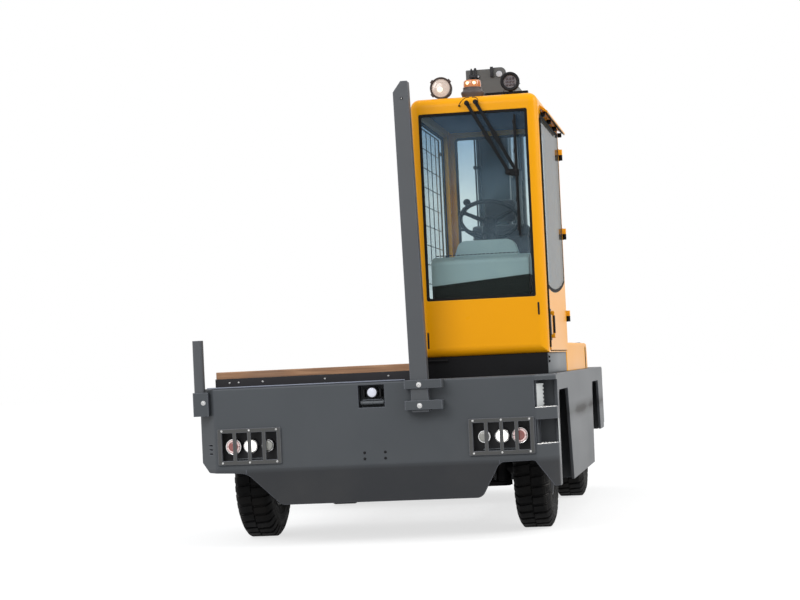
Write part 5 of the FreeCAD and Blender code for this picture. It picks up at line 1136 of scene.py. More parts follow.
# ---------------------------------------------------------------- cab inside
def steering_wheel():
    """A padded three-spoke wheel on its column, with a hub cap, thumb grips and a turning knob."""
    lo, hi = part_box("steering_wheel")
    reach = (hi.x - lo.x) / 2
    lean = math.atan(0.7)
    axis = Vector((0, math.sin(lean), math.cos(lean)))
    centre = Vector(((lo.x + hi.x) / 2, hi.y - reach * math.cos(lean) - 0.003,
                     hi.z - reach * math.sin(lean) - 0.006))
    side = axis.cross(Vector(ACROSS))
    grip = 0.0145
    form = bmesh.new()
    ring = [(reach - grip + grip * math.cos(a),
             grip * math.sin(a)) for a in (math.tau * i / 14 for i in range(14))]
    lathe(form, ring, centre, axis, 96, loop=True)
    for angle in (90, 210, 330):
        a = math.radians(angle)
        out = Vector(ACROSS) * math.cos(a) + side * math.sin(a)
        flat = axis.cross(out)
        rings = []
        for share, wide, thick in ((0.10, 0.030, 0.016), (0.35, 0.019, 0.011), (0.75, 0.015, 0.010),
                                   (0.97, 0.020, 0.012)):
            at = centre + out * reach * share - axis * (0.030 * (1 - share))
            rings.append([form.verts.new(at + flat * wide * math.cos(t) + axis * thick * math.sin(t))
                          for t in (math.tau * k / 12 for k in range(12))])
        bridge(form, rings)
        for turn in (-9, 9):
            b = math.radians(angle + turn)
            at = centre + (Vector(ACROSS) * math.cos(b) + side * math.sin(b)) * (reach - grip)
            bmesh.ops.create_uvsphere(form, u_segments=16, v_segments=10, radius=grip * 1.22,
                                      matrix=Matrix.Translation(at))
    lathe(form, [(0.046, -0.055), (0.052, -0.040), (0.052, -0.012), (0.044, 0.000), (0.030, 0.004)], centre,
          axis, 40)
    lathe(form, [(0.040, -0.330), (0.040, -0.150), (0.050, -0.140), (0.050, -0.062), (0.036, -0.055)],
          centre, axis, 32)
    finish("steering_wheel_rim", form, PLAIN["black"], "chassis", 40, ["steering_wheel"])
    cap = bmesh.new()
    lathe(cap, [(0.028, 0.0), (0.028, 0.006), (0.020, 0.009), (0.0, 0.010)], centre + axis * 0.003, axis,
          32)
    fitting("wheel_cap", cap, METAL["chrome"])
    knob = bmesh.new()
    at = centre + (Vector(ACROSS) * math.cos(2.35) + side * math.sin(2.35) * -1) * (reach - grip)
    lathe(knob, [(0.012, 0.010), (0.009, 0.020), (0.010, 0.028), (0.022, 0.036), (0.026, 0.048),
                 (0.022, 0.060),
                 (0.010, 0.066)], at, axis, 28)
    trim("wheel_knob", knob, PLAIN["black"])
    stalk = bmesh.new()
    tube(stalk, smooth_line([centre - axis * 0.100 + Vector((-0.040, 0, 0)),
                             centre - axis * 0.095 + Vector((-0.110, 0, 0)),
                             centre - axis * 0.085 + Vector((-0.165, 0.0, 0.006))], 5), 0.006, 12)
    block(stalk, centre - axis * 0.084 + Vector((-0.205, -0.008, -0.002)),
          centre - axis * 0.084 + Vector((-0.150, 0.010, 0.016)), 0.006)
    trim("light_stalk", stalk, PLAIN["black"])


def dash_fittings():
    """The instrument screen in its cowl, switch rows, an air vent row and the lever console."""
    dash, console = sorted(solids("dashboard"), key=lambda pair: -(pair[1].x - pair[0].x))
    lo, hi = dash
    cowl_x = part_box("steering_wheel")[0].x + 0.214
    screen = bmesh.new()
    face_y = lo.y + 0.300 * 0.72 + 0.001
    outline = rounded(cowl_x - 0.105, cowl_x + 0.105, hi.z - 0.085, hi.z - 0.018, 0.012)
    slab(screen, outline, face_y, face_y + 0.003, on_y, 0.001)
    trim("dash_screen", screen, PLAIN["screen"])
    switches = bmesh.new()
    for i in range(7):
        x = lo.x + 0.075 + i * 0.034 + (0.24 if i > 2 else 0.0)
        y = hi.y - 0.052
        z = hi.z - 0.150
        turn = Matrix.Rotation(math.radians(-32), 3, "X")
        block(switches, (x - 0.013, y - 0.020, z - 0.006), (x + 0.013, y + 0.020, z + 0.010), 0.003, 2,
              turn)
    trim("dash_switches", switches, PLAIN["black"])
    vents = bmesh.new()
    for i in range(22):
        x = lo.x + 0.040 + i * 0.028
        block(vents, (x - 0.010, lo.y + 0.040, hi.z - 0.098), (x + 0.010, lo.y + 0.052, hi.z - 0.0915),
              0.001, 1)
    trim("dash_vents", vents, PLAIN["black"])
    lo, hi = console
    levers = bmesh.new()
    for i in range(4):
        x = (lo.x + hi.x) / 2
        y = lo.y + 0.070 + i * 0.055
        base = Vector((x, y, hi.z - 0.006))
        top = base + Vector((0.010 - 0.004 * i, -0.020 + 0.010 * i, 0.105))
        tube(levers, smooth_line([base, base + Vector((0, 0, 0.05)), top], 4), 0.0052, 12)
        lathe(levers, [(0.020, 0.0), (0.017, 0.010), (0.012, 0.016), (0.009, 0.028), (0.0055, 0.030)], base,
              UPWARD, 20)
        lathe(levers, [(0.008, -0.004), (0.014, 0.004), (0.0165, 0.018), (0.015, 0.034), (0.010, 0.042),
                       (0.0, 0.044)],
              top, top - base, 24)
    trim("levers", levers, PLAIN["black"])
    rest = bmesh.new()
    middle = (lo.x + hi.x) / 2
    block(rest, (lo.x + 0.012, lo.y + 0.320, hi.z + 0.004), (hi.x - 0.004, hi.y - 0.030, hi.z + 0.040),
          0.016, 4)
    for y in (lo.y + 0.365, hi.y - 0.075):
        tube(rest, [(middle, y, hi.z - 0.110), (middle, y, hi.z + 0.010)], 0.014, 16)
        lathe(rest, [(0.030, hi.z - 0.090), (0.030, hi.z - 0.060), (0.016, hi.z - 0.040)], (middle, y, 0.0),
              UPWARD, 20)
    trim("lever_wrist_rest", rest, PLAIN["black"])


def cab_lining():
    """The headliner, the rubber floor mat and the two pedals."""
    lo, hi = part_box("cab_shell")
    inner = 0.050
    x0, x1 = lo.x + inner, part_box("door_panel")[0].x - 0.016
    y0, y1, z0, z1 = lo.y + inner, hi.y - 0.045 - inner, lo.z + inner, hi.z - inner
    liner = bmesh.new()
    block(liner, (x0 + 0.012, y0 + 0.012, z1 - 0.022), (x1 - 0.012, y1 - 0.012, z1 - 0.001), 0.010, 3)
    block(liner, (x0 + 0.10, y0 + 0.10, z1 - 0.040), (x1 - 0.10, y1 - 0.30, z1 - 0.021), 0.010, 3)
    trim("headliner", liner, PLAIN["liner"])
    mat = bmesh.new()
    block(mat, (x0 + 0.13, y0 + 0.16, z0 + 0.001), (x1 - 0.015, y1 - 0.30, z0 + 0.008), 0.003)
    for i in range(14):
        y = y0 + 0.20 + i * 0.035
        block(mat, (x0 + 0.16, y, z0 + 0.008), (x1 - 0.04, y + 0.012, z0 + 0.011), 0.001, 1)
    trim("floor_mat", mat, RUBBER)
    pedals = bmesh.new()
    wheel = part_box("steering_wheel")
    for from_wheel in (0.018, 0.178):
        x = (wheel[0].x + wheel[1].x) / 2 + from_wheel
        turn = Matrix.Rotation(math.radians(-38), 3, "X")
        block(pedals, (x - 0.035, y0 + 0.305, z0 + 0.055), (x + 0.035, y0 + 0.315, z0 + 0.205), 0.004, 2,
              turn)
        tube(pedals, [(x, y0 + 0.33, z0 + 0.008), (x, y0 + 0.318, z0 + 0.110)], 0.009, 10)
    trim("pedals", pedals, RUBBER)


def seat_pad(name, lo, hi, lean=0.0, channels=(), swell=0.016, steps=20):
    """A cushion that cloth simulation blows up from a smaller form, with sewn channels pressed in after."""
    lo, hi = Vector(lo), Vector(hi)
    centre = (lo + hi) / 2
    form = bmesh.new()
    block(form, lo + Vector((0.012, 0.012, 0.012)), hi - Vector((0.012, 0.012, 0.012)), 0.030, 4)
    mesh = bpy.data.meshes.new(name)
    form.to_mesh(mesh)
    form.free()
    pad = bpy.data.objects.new(name, mesh)
    bpy.context.scene.collection.objects.link(pad)
    remesh = pad.modifiers.new("remesh", "REMESH")
    remesh.mode = "VOXEL"
    remesh.voxel_size = 0.012
    apply_modifiers(pad)
    before = [v.co.copy() for v in pad.data.vertices]
    cloth = pad.modifiers.new("cloth", "CLOTH")
    cloth.settings.quality = 5
    cloth.settings.use_pressure = True
    cloth.settings.uniform_pressure_force = 4.0
    cloth.settings.effector_weights.gravity = 0.0
    cloth.settings.tension_stiffness = 12.0
    cloth.settings.bending_stiffness = 4.0
    cloth.point_cache.frame_start = 1
    cloth.point_cache.frame_end = steps
    for step in range(1, steps + 1):
        bpy.context.scene.frame_set(step)
    apply_modifiers(pad)
    bpy.context.scene.frame_set(1)
    for vert, start in zip(pad.data.vertices, before):
        moved = vert.co - start
        if moved.length > swell:
            vert.co = start + moved.normalized() * swell
    half = (hi - lo) / 2
    for vert in pad.data.vertices:
        local = vert.co - centre
        for axis, place, width, depth in channels:
            near = (local[axis] - place) / width
            if abs(near) < 1.0:
                dent = depth * (1 - near * near) ** 2
                for k in range(3):
                    if k != axis:
                        vert.co[k] -= dent * local[k] / max(half[k], 0.001)
    if lean:
        pivot = Vector((centre.x, centre.y, lo.z))
        turn = Matrix.Translation(pivot) @ Matrix.Rotation(lean, 4, "X") @ Matrix.Translation(-pivot)
        pad.data.transform(turn)
    subdivide = pad.modifiers.new("subdivide", "SUBSURF")
    subdivide.levels = subdivide.render_levels = 1
    apply_modifiers(pad)
    for polygon in pad.data.polygons:
        polygon.use_smooth = True
    pad.data.materials.append(FABRIC)
    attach(pad, "chassis")
    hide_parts("seat")
    return pad


def apply_modifiers(item):
    """Keeps an object's shape as its modifiers leave it."""
    evaluated = item.evaluated_get(bpy.context.evaluated_depsgraph_get())
    mesh = bpy.data.meshes.new_from_object(evaluated)
    item.modifiers.clear()
    item.data = mesh


def seat():
    """The driver's seat: a bellows base, a cushion, a leaning back with its shell, and a head pad."""
    lo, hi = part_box("seat")
    x, cushion_top, front = (lo.x + hi.x) / 2, lo.z + 0.390, lo.y
    base = bmesh.new()
    z = lo.z
    block(base, (x - 0.20, front + 0.050, z), (x + 0.20, front + 0.440, z + 0.030), 0.006)
    rings = []
    for i in range(11):
        pull = 0.0 if i % 2 else 0.018
        level = z + 0.030 + i * 0.020
        outline = rounded(x - 0.165 + pull, x + 0.165 - pull, front + 0.075 + pull, front + 0.415 - pull,
                          0.030)
        rings.append([base.verts.new((u, v, level)) for u, v in outline])
    bridge(base, rings)
    block(base, (x - 0.21, front + 0.030, z + 0.230), (x + 0.21, front + 0.450, z + 0.268), 0.010, 3)
    finish("seat_base", base, PLAIN["black"], "chassis", 30, ["seat"])
    half = (hi.x - lo.x) / 2
    seat_pad("seat_cushion", (x - half, front, cushion_top - 0.122), (x + half, front + 0.460, cushion_top),
             channels=((1, 0.02, 0.012, 0.012), (1, 0.10, 0.012, 0.012), (0, -0.15, 0.012, 0.010),
                       (0, 0.15, 0.012, 0.010)))
    lean = -math.atan2(0.06, 0.56)
    back_y, back_z = front + 0.392, cushion_top - 0.030
    seat_pad("seat_back", (x - half + 0.012, back_y, back_z),
             (x + half - 0.012, back_y + 0.125, back_z + 0.560), lean,
             channels=((2, -0.12, 0.012, 0.012), (2, 0.02, 0.012, 0.012), (2, 0.16, 0.012, 0.012),
                       (0, -0.155, 0.012, 0.010), (0, 0.155, 0.012, 0.010)))
    seat_pad("seat_head_pad", (x - 0.130, back_y + 0.070, hi.z - 0.190),
             (x + 0.130, back_y + 0.162, hi.z - 0.004), lean * 0.6,
             channels=((2, 0.0, 0.012, 0.008),))
    frame_parts = bmesh.new()
    for dx in (-0.06, 0.06):
        tube(frame_parts, [(x + dx, back_y + 0.125, hi.z - 0.245), (x + dx, back_y + 0.128, hi.z - 0.165)],
             0.007, 10)
    shell = rounded(x - half + 0.030, x + half - 0.030, back_z + 0.03, back_z + 0.535, 0.05)
    tilt = math.tan(-lean)
    rings = []
    for depth in (0.122, 0.140):
        rings.append([frame_parts.verts.new((u, back_y + depth + (v - back_z) * tilt, v)) for u,
                      v in shell])
    bridge(frame_parts, rings)
    for side in (-1, 1):
        block(frame_parts, (x + side * (half - 0.012) - 0.012, front + 0.30, cushion_top - 0.060),
              (x + side * (half - 0.012) + 0.012, front + 0.47, cushion_top + 0.020), 0.008)
    trim("seat_frame", frame_parts, PLAIN["black"])


# ---------------------------------------------------------------- mast, hood and rear
CHAIN_PITCH = 0.0254
CHAIN_BACK_DEPTH = 0.640


def mast_chains():
    """Two leaf chains over the sheaves: rows of plates on pins, as long as the CAD chains."""
    for index, (lo, hi) in enumerate(solids("lift_chains")):
        y = (lo.y + hi.y) / 2
        radius = (hi.x - lo.x) / 2 - 0.007
        centre = Vector(((lo.x + hi.x) / 2, y, hi.z - radius - 0.007))
        back_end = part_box("outer_mast")[1].z - CHAIN_BACK_DEPTH
        front_length, wrap, back_length = centre.z - lo.z, math.pi * radius, centre.z - back_end
        total = front_length + wrap + back_length
        points = []
        for i in range(int(total / CHAIN_PITCH) + 1):
            s = i * CHAIN_PITCH
            if s < front_length:
                points.append(Vector((centre.x - radius, y, lo.z + s)))
            elif s < front_length + wrap:
                a = math.pi - (s - front_length) / radius
                points.append(centre + Vector((radius * math.cos(a), 0, radius * math.sin(a))))
            else:
                points.append(Vector((centre.x + radius, y, centre.z - (s - front_length - wrap))))
        form = bmesh.new()
        for i, (a, b) in enumerate(zip(points, points[1:])):
            along = (b - a).normalized()
            out = along.cross(Vector(BACKWARD))
            levels = (-0.011, -0.0035, 0.0035, 0.011) if i % 2 else (-0.0072, 0.0, 0.0072)
            for level in levels:
                outline = []
                for k in range(6):
                    t = math.pi * (k / 5 - 0.5)
                    outline.append(b + (along * math.cos(t) + out * math.sin(t)) * 0.0068)
                for k in range(6):
                    t = math.pi * (k / 5 + 0.5)
                    outline.append(a + (along * math.cos(t) + out * math.sin(t)) * 0.0068)
                rings = [[form.verts.new(p + Vector((0, level + d, 0))) for p in outline]
                         for d in (-0.0016, 0.0016)]
                bridge(form, rings)
            lathe(form, [(0.0036, -0.0135), (0.0036, 0.0135)], a, BACKWARD, 10)
        finish(f"leaf_chain_{index}", form, METAL["chain"], "mast_inner", 30, ["lift_chains"])


def hood_fittings():
    """Two rubber latches on the hood's load side, two grab handles and the mesh behind the louvres."""
    lo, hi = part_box("hood")
    form = bmesh.new()
    for y in (lo.y + 0.30, lo.y + 1.05):
        block(form, (lo.x - 0.014, y - 0.016, lo.z + 0.020), (lo.x + 0.001, y + 0.016, lo.z + 0.085), 0.005)
        tube(form, [(lo.x - 0.012, y - 0.022, lo.z + 0.060), (lo.x - 0.012, y + 0.022, lo.z + 0.060)],
             0.006, 12)
    for x in (lo.x + 0.12, hi.x - 0.12):
        handle = smooth_line([(x, lo.y + 0.002, hi.z - 0.190), (x, lo.y - 0.020, hi.z - 0.200),
                              (x, lo.y - 0.024, hi.z - 0.250), (x, lo.y - 0.020, hi.z - 0.300),
                              (x, lo.y + 0.002, hi.z - 0.310)], 6)
        tube(form, handle, 0.007, 12)
        for z in (hi.z - 0.190, hi.z - 0.310):
            lathe(form, [(0.015, 0.0), (0.015, 0.003), (0.009, 0.006)], (x, lo.y, z), FORWARD, 18)
    trim("hood_latches", form, PLAIN["black"], "engine_hood")
    mesh = bmesh.new()
    for x in (lo.x + 0.0165, hi.x - 0.0165):
        for i in range(34):
            y = lo.y + 0.162 + i * 0.011
            tube(mesh, [(x, y, lo.z + 0.080), (x, y, lo.z + 0.290)], 0.0011, 6)
    trim("hood_mesh", mesh, PLAIN["black"], "engine_hood")


def tail_lenses():
    """Ribbed red, amber and clear glass in each tail lamp, with its screws."""
    for lo, hi in solids("tail_lamps"):
        side = 1 if lo.x > 0 else -1
        name = "cab" if side > 0 else "load"
        x0, x1, z0, z1, y = lo.x + 0.022, hi.x - 0.022, lo.z + 0.022, hi.z - 0.022, hi.y
        width = (x1 - x0) / 3
        for k, kind in enumerate(("tail_clear", "tail_red", "tail_amber")):
            start = x0 + k * width if side > 0 else x1 - (k + 1) * width
            form = bmesh.new()
            outline = rounded(start + 0.002, start + width - 0.002, z0, z1, 0.006)
            slab(form, outline, y - 0.001, y + 0.006, on_y, 0.002)
            for i in range(9):
                z = z0 + 0.008 + i * (z1 - z0 - 0.016) / 8
                block(form, (start + 0.006, y + 0.005, z - 0.0012),
                      (start + width - 0.006, y + 0.0072, z + 0.0012), 0.001, 1)
            finish(f"{kind}_{name}", form, LAMP[kind], "chassis")
        screws = bmesh.new()
        for x in (x0 - 0.006, x1 + 0.006):
            dome_bolt(screws, (x, y, (z0 + z1) / 2), BACKWARD, 0.0045)
        fitting(f"tail_screws_{name}", screws, METAL["zinc"])


def sled_nuts_and_tow_ring():
    """The nuts on the ends of the mast's pivots in the sled, and the ring of the tow pin."""
    form = bmesh.new()
    lo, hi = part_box("mast_sled")
    pivot_x, pivot_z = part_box("outer_mast")[0].x + 0.168, lo.z + 0.075
    for side in (-1, 1):
        y = hi.y - 0.115 if side > 0 else lo.y + 0.115
        hexagon_bolt(form, (pivot_x, y + side * 0.002, pivot_z), (0, side, 0), 0.030)
    fitting("sled_nuts", form, METAL["zinc"], "sled")
    pin = bmesh.new()
    lo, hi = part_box("tow_coupling")
    at = Vector(((lo.x + hi.x) / 2, hi.y - 0.026, hi.z))
    loop = [at + Vector((0.030 * math.cos(a), 0, 0.006 + 0.030 + 0.030 * math.sin(a))) for a in
            (math.tau * k / 20 for k in range(20))]
    tube(pin, loop, 0.004, 10, closed=True)
    fitting("tow_pin_ring", pin, METAL["zinc"])


CORNER_SLOT = PANEL_LO + Vector((0.0635, 0.0635, 0.3545))


def front_plugs():
    """Rubber plugs in the plate's four holes, dark inserts behind the corner's three slots, and a pale
    strip along the deck's front top edge as a painted highlight.
    """
    form = bmesh.new()
    face = PANEL_LO.y
    for x in (-0.069, 0.069):
        for z in (PANEL_LO.z + 0.285, PANEL_LO.z + 0.325):
            lathe(form, [(0.0095, 0.0), (0.0095, 0.001), (0.006, 0.003), (0.0, 0.003)], (x, face, z),
                  FORWARD, 18)
    turn = Matrix.Rotation(math.radians(-45), 3, "Z")
    for i in range(3):
        at = CORNER_SLOT + Vector((0.010, 0.010, i * 0.028))
        block(form, at - Vector((0.034, 0.004, 0.0075)), at + Vector((0.034, 0.004, 0.0075)), 0.002, 2,
              turn)
    trim("front_plugs", form, PLAIN["black"])
    # painted highlight: a pale strip along the deck's front top edge
    edge = bmesh.new()
    start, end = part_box("bolster_channels")[0].x - 0.030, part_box("post_brackets")[0].x + 1.432
    top = PANEL_HI.z
    block(edge, (start, face + 0.002, top), (end, face + 0.016, top + 0.008), 0.0025)
    finish("deck_edge_highlight", edge, PAINT["deck_edge_highlight"], "chassis")


def pillar_seal():
    """The thick rubber between the cab's front pillar and the door, and the bar under the cab's front."""
    lo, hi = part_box("door_glass")
    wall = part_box("door_brackets")[0].x
    form = bmesh.new()
    line = [(wall + 0.003, lo.y - 0.016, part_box("door_panel")[0].z + 0.02),
            (wall + 0.003, lo.y - 0.016, hi.z - 0.03)]
    tube(form, line, 0.0085, 14)
    trim("pillar_seal", form, RUBBER)
    bar = bmesh.new()
    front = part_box("cab_base")[0]
    block(bar, (front.x - 0.006, front.y - 0.022, front.z + 0.112),
          (front.x + 0.155, front.y - 0.006, front.z + 0.124), 0.004)
    for x in (front.x + 0.012, front.x + 0.140):
        block(bar, (x - 0.006, front.y - 0.008, front.z + 0.113),
              (x + 0.006, front.y + 0.001, front.z + 0.123), 0.002)
    trim("cab_tilt_bar", bar, PLAIN["black"])


def chain_anchors():
    """The bracket on each lift cylinder's head that holds the chain's fixed end."""
    chains, barrels = solids("lift_chains"), solids("lift_barrels")
    form = bmesh.new()
    for (chain_lo, chain_hi), (barrel_lo, barrel_hi) in zip(chains, barrels):
        side = 1 if chain_lo.y > 0 else -1
        x, y = chain_hi.x - 0.007, (chain_lo.y + chain_hi.y) / 2
        near = barrel_lo.y if side > 0 else barrel_hi.y
        y0, y1 = sorted((y - side * 0.020, near + side * 0.010))
        z = barrel_hi.z
        block(form, (x - 0.018, y0, z - 0.040), (x + 0.022, y1, z - 0.014), 0.003)
        tube(form, [(x, y, z - 0.052), (x, y, z + 0.036)], 0.0065, 14)
        hexagon_bolt(form, (x, y, z - 0.014), UPWARD, 0.020, False)
        hexagon_bolt(form, (x, y, z - 0.040), (0, 0, -1), 0.020, False)
        block(form, (x - 0.008, y - 0.014, z + 0.026), (x + 0.008, y + 0.014, z + 0.046), 0.003)
    fitting("chain_anchors", form, METAL["chain"], "mast_outer")


def radiator():
    """The finned core behind the rear panel's grille, with its side tanks."""
    lo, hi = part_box("rear_panel")
    y = hi.y - 0.075
    x0, x1, z0, z1 = hi.x - 0.755, hi.x - 0.375, lo.z + 0.200, hi.z - 0.060
    core = bmesh.new()
    block(core, (x0, y - 0.050, z0), (x1, y, z1), 0.003)
    for i in range(19):
        x = x0 + 0.012 + i * (x1 - x0 - 0.024) / 18
        block(core, (x - 0.003, y, z0 + 0.012), (x + 0.003, y + 0.004, z1 - 0.012), 0.001, 1)
    trim("radiator_core", core, PLAIN["black"])
    tanks = bmesh.new()
    for x in (x0 - 0.012, x1 - 0.018):
        block(tanks, (x, y - 0.055, z0 - 0.010), (x + 0.030, y + 0.008, z1 + 0.010), 0.008, 3)
    fitting("radiator_tanks", tanks, METAL["galvanised"])


def fairing_seam():
    """The rubber strip over the joint between the fairing's two lengths."""
    front, rear = solids("side_fairing")
    y, z0 = (front[1].y + rear[0].y) / 2, front[0].z
    lo, hi = front
    form = bmesh.new()
    line = [(hi.x + 0.001, y, z0 + 0.004), (hi.x + 0.001, y, hi.z - 0.040), (hi.x - 0.010, y, hi.z - 0.008),
            (hi.x - 0.040, y, hi.z + 0.001), (lo.x + 0.030, y, hi.z + 0.001)]
    tube(form, line, 0.0045, 10)
    trim("fairing_seam", form, RUBBER)


def door_grip():
    """A black plate behind the door's pull and a black sleeve round it."""
    panel_lo, panel_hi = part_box("door_panel")
    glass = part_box("door_glass")
    y, z = panel_lo.y + 0.056, panel_lo.z + 0.080
    form = bmesh.new()
    slab(form, rounded(y - 0.022, y + 0.044, z - 0.014, z + 0.194, 0.010), glass[1].x + 0.0002,
         glass[1].x + 0.0016, on_x)
    block(form, (panel_hi.x - 0.013, y - 0.003, z + 0.030), (panel_hi.x + 0.0015, y + 0.026, z + 0.150),
          0.004)
    trim("door_grip", form, PLAIN["black"], "door")


def corner_highlight_bead():
    """A pale galvanised bead down the front panel's cab-side edge, put there as a painted highlight."""
    x, y = PANEL_HI.x - 0.004, PANEL_HI.y + 0.002
    form = bmesh.new()
    # painted highlight along the corner's edge
    tube(form, [(x, y, PANEL_LO.z + 0.193), (x, y, PANEL_LO.z + 0.528)], 0.005, 10)
    fitting("corner_highlight_bead", form, METAL["galvanised"])


def window_guard():
    """A frame of round bar with wires across it, outside the cab's load-side pane."""
    lo, hi = solids("cab_glass")[0]
    x = CAB_LO.x - 0.016
    form = bmesh.new()
    corners = [(x, lo.y + 0.02, lo.z + 0.02), (x, hi.y - 0.02, lo.z + 0.02), (x, hi.y - 0.02, hi.z - 0.02),
               (x, lo.y + 0.02, hi.z - 0.02)]
    tube(form, corners, 0.006, 12, closed=True)
    for i in range(1, 9):
        z = lo.z + 0.02 + i * (hi.z - lo.z - 0.04) / 9
        tube(form, [(x, lo.y + 0.02, z), (x, hi.y - 0.02, z)], 0.0032, 8)
    for i in range(1, 6):
        y = lo.y + 0.02 + i * (hi.y - lo.y - 0.04) / 6
        tube(form, [(x + 0.005, y, lo.z + 0.02), (x + 0.005, y, hi.z - 0.02)], 0.0032, 8)
    for y in (lo.y - 0.006, hi.y + 0.006):
        for z in (lo.z + 0.12, hi.z - 0.12):
            block(form, (x - 0.002, y - 0.026, z - 0.012), (x + 0.0165, y + 0.026, z + 0.012), 0.003)
    finish("window_guard", form, PAINT["black"], "chassis")


PIPE_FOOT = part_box("outer_mast")[0].z + 0.34
CLIP_PITCH = 0.45


def mast_pipes():
    """Two oil pipes clipped up the front of the outer mast, and the fittings on its head."""
    lo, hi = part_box("outer_mast")
    clip_x0, clip_x1, clip_depth = lo.x + 0.026, lo.x + 0.088, 0.024
    pipes = bmesh.new()
    for x, radius in ((lo.x + 0.042, 0.0065), (lo.x + 0.071, 0.0095)):
        y = lo.y - 0.013
        path = [(x, y, z) for z in (PIPE_FOOT, PIPE_FOOT + 0.85, PIPE_FOOT + 1.75, hi.z - 0.10)]
        path += [(x, y + 0.008, hi.z - 0.020), (x, y + 0.024, hi.z - 0.002), (x, y + 0.040, hi.z - 0.012)]
        tube(pipes, smooth_line(path, 6), radius, 14)
    finish("mast_pipes", pipes, PAINT["channel"], "mast_outer")
    clips = bmesh.new()
    for z in [PIPE_FOOT + 0.05 + CLIP_PITCH * i for i in range(6)] + [hi.z - 0.060]:
        block(clips, (clip_x0, lo.y - clip_depth, z - 0.012), (clip_x1, lo.y + 0.001, z + 0.012), 0.004)
    block(clips, (clip_x0, lo.y - 0.030, PIPE_FOOT - 0.045), (clip_x1, lo.y + 0.001, PIPE_FOOT + 0.010),
          0.004)
    block(clips, (lo.x + 0.184, lo.y - 0.010, hi.z - 0.073), (lo.x + 0.207, lo.y + 0.001, hi.z + 0.006),
          0.003)
    finish("mast_clips", clips, PAINT["channel"], "mast_outer")
    cap = bmesh.new()
    boss = Vector((lo.x + 0.250, lo.y, hi.z - 0.052))
    lathe(cap, [(0.0225, 0.0), (0.0225, 0.002), (0.0200, 0.0045), (0.0, 0.006)], boss, FORWARD, 32)
    trim("mast_boss_cap", cap, PLAIN["pale"], "mast_outer")
    eye = Vector((lo.x + 0.091, lo.y, hi.z - 0.062))
    washer = bmesh.new()
    lathe(washer, [(0.0135, -0.004), (0.0135, 0.002), (0.0, 0.002)], eye, FORWARD, 28)
    trim("mast_bolt_washer", washer, PLAIN["black"], "mast_outer")
    bolt = bmesh.new()
    dome_bolt(bolt, eye - Vector((0, 0.0015, 0)), FORWARD, 0.0075)
    fitting("mast_bolt", bolt, PLAIN["pale"], "mast_outer")


def post_grommet():
    """The small rubber grommet in the hole near the tall post's head."""
    lo, hi = max(solids("load_posts"), key=lambda box: box[1].z)
    hole = Vector((lo.x + 0.056, lo.y, hi.z - 0.114))
    form = bmesh.new()
    lathe(form, [(0.0095, 0.0), (0.0095, 0.0015), (0.0050, 0.0020), (0.0035, 0.0010), (0.0035, -0.010),
                 (0.0066, -0.010), (0.0066, 0.0)], hole, FORWARD, 24, loop=True, caps=False)
    trim("post_grommet", form, RUBBER)


for place in ("front_load", "front_cab", "rear_load", "rear_cab"):
    tyre("tyre_" + place, "rim_" + place)
    wheel_fittings("wheel_nuts_" + place, "rim_" + place)
head_lamp_faces()
front_bolts()
sensor_lens()
step_grips()
plinth_side()
cab_seals()
door_trim()
cab_front_details()
roof_lamps()
beacon()
wiper_details()
steering_wheel()
dash_fittings()
cab_lining()
seat()
mast_chains()
hood_fittings()
tail_lenses()
sled_nuts_and_tow_ring()
front_plugs()
pillar_seal()
window_guard()
mast_pipes()
post_grommet()
door_grip()
corner_highlight_bead()
radiator()
chain_anchors()
fairing_seam()


# ---------------------------------------------------------------- camera, floor and light
CAMERA_AT = Vector((2.330, -15.675, 1.171))
YAW, PITCH, ROLL = math.radians(9.126), math.radians(1.787), math.radians(2.690)
SENSOR = 36.0
LENS = 91.59


def make_camera():
    """The camera stands where the photo was taken from."""
    ahead = Vector((-math.sin(YAW) * math.cos(PITCH), math.cos(YAW) * math.cos(PITCH), math.sin(PITCH)))
    right = ahead.cross(Vector(UPWARD)).normalized()
    up = right.cross(ahead)
    across = right * math.cos(ROLL) - up * math.sin(ROLL)
    upward = up * math.cos(ROLL) + right * math.sin(ROLL)
    turn = Matrix((across, upward, -ahead)).transposed().to_4x4()
    data = bpy.data.cameras.new("camera")
    data.sensor_width = SENSOR
    data.lens = LENS
    data.clip_end = 200.0
    camera = bpy.data.objects.new("camera", data)
    camera.matrix_world = Matrix.Translation(CAMERA_AT) @ turn
    bpy.context.scene.collection.objects.link(camera)
    bpy.context.scene.camera = camera


def seen_directly(tree):
    """One for camera, glossy and transmission rays, and nought for the light that falls on things."""
    path = node(tree, "ShaderNodeLightPath").outputs
    total = maths(tree, "MAXIMUM", path["Is Camera Ray"], path["Is Glossy Ray"])
    return maths(tree, "MAXIMUM", total, path["Is Transmission Ray"])


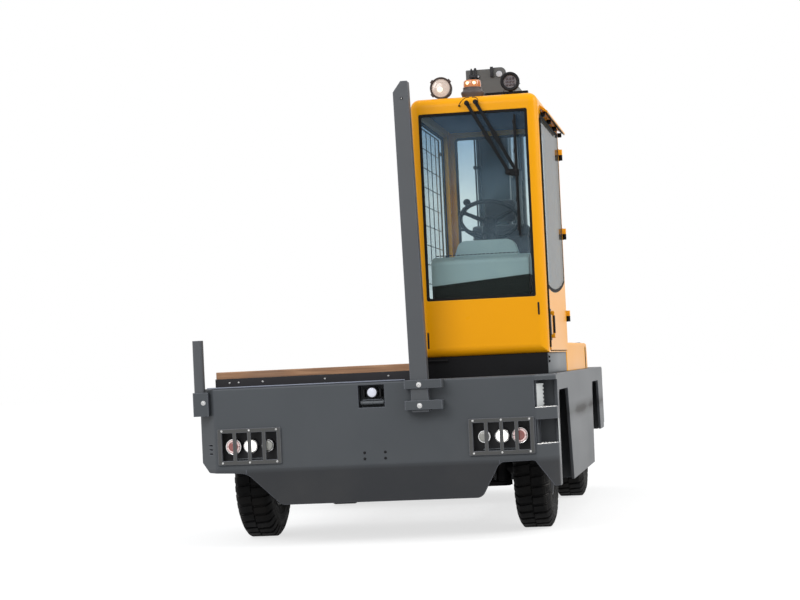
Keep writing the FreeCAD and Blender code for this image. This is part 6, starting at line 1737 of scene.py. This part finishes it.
def make_floor():
    """A plain pale floor that keeps the shadow and melts into the white backdrop."""
    mesh = bpy.data.meshes.new("floor")
    size = 80.0
    mesh.from_pydata([(-size, -size, 0), (size, -size, 0), (size, size, 0), (-size, size, 0)], [],
                     [(0, 1, 2, 3)])
    floor = bpy.data.objects.new("floor", mesh)
    bpy.context.scene.collection.objects.link(floor)
    look = Look("floor", (FLOOR_TONE, FLOOR_TONE, FLOOR_TONE), 1.0)
    look.set("Specular IOR Level", 0.0)
    look.set("Emission Color", (1.0, 1.0, 1.0))
    look.set("Emission Strength", look.times(seen_directly(look.tree), FLOOR_LIFT))
    mesh.materials.append(look.material)


def make_world():
    """An even sky, a little brighter overhead, with a white backdrop for the eye."""
    world = bpy.data.worlds.new("world")
    world.use_nodes = True
    tree = world.node_tree
    sky = tree.nodes["Background"]
    place = node(tree, "ShaderNodeTexCoord").outputs["Generated"]
    feed(tree, ramp(tree, axes(tree, place)["Z"], 0.0, 1.0, SKY_EDGE, SKY_TOP), sky.inputs["Strength"])
    feed(tree, (0.97, 0.985, 1.0), sky.inputs["Color"])
    white = node(tree, "ShaderNodeBackground", {"Color": (1.0, 1.0, 1.0), "Strength": 1.0})
    mixed = shared(tree, seen_directly(tree), sky.outputs[0], white.outputs[0])
    tree.links.new(mixed, tree.nodes["World Output"].inputs["Surface"])
    bpy.context.scene.world = world


def area_lamp(name, at, target, size, power, colour=(1.0, 1.0, 1.0)):
    """A rectangular lamp that faces a target."""
    data = bpy.data.lights.new(name, "AREA")
    data.shape = "RECTANGLE"
    data.size, data.size_y = size
    data.energy = power
    data.color = colour
    lamp = bpy.data.objects.new(name, data)
    lamp.location = at
    lamp.rotation_euler = (Vector(target) - Vector(at)).to_track_quat("-Z", "Y").to_euler()
    bpy.context.scene.collection.objects.link(lamp)


FLOOR_TONE, FLOOR_LIFT = 0.34, 0.70
SKY_EDGE, SKY_TOP = 0.80, 1.05
make_camera()
make_floor()
make_world()
area_lamp("key", (9.0, -2.0, 6.0), (0.6, 0.0, 1.2), (5.0, 5.0), 420.0, (1.0, 0.98, 0.95))
area_lamp("fill", (-3.0, -9.5, 6.0), (0.0, -1.5, 1.2), (6.0, 4.0), 360.0)
bpy.context.scene.view_settings.view_transform = "Standard"
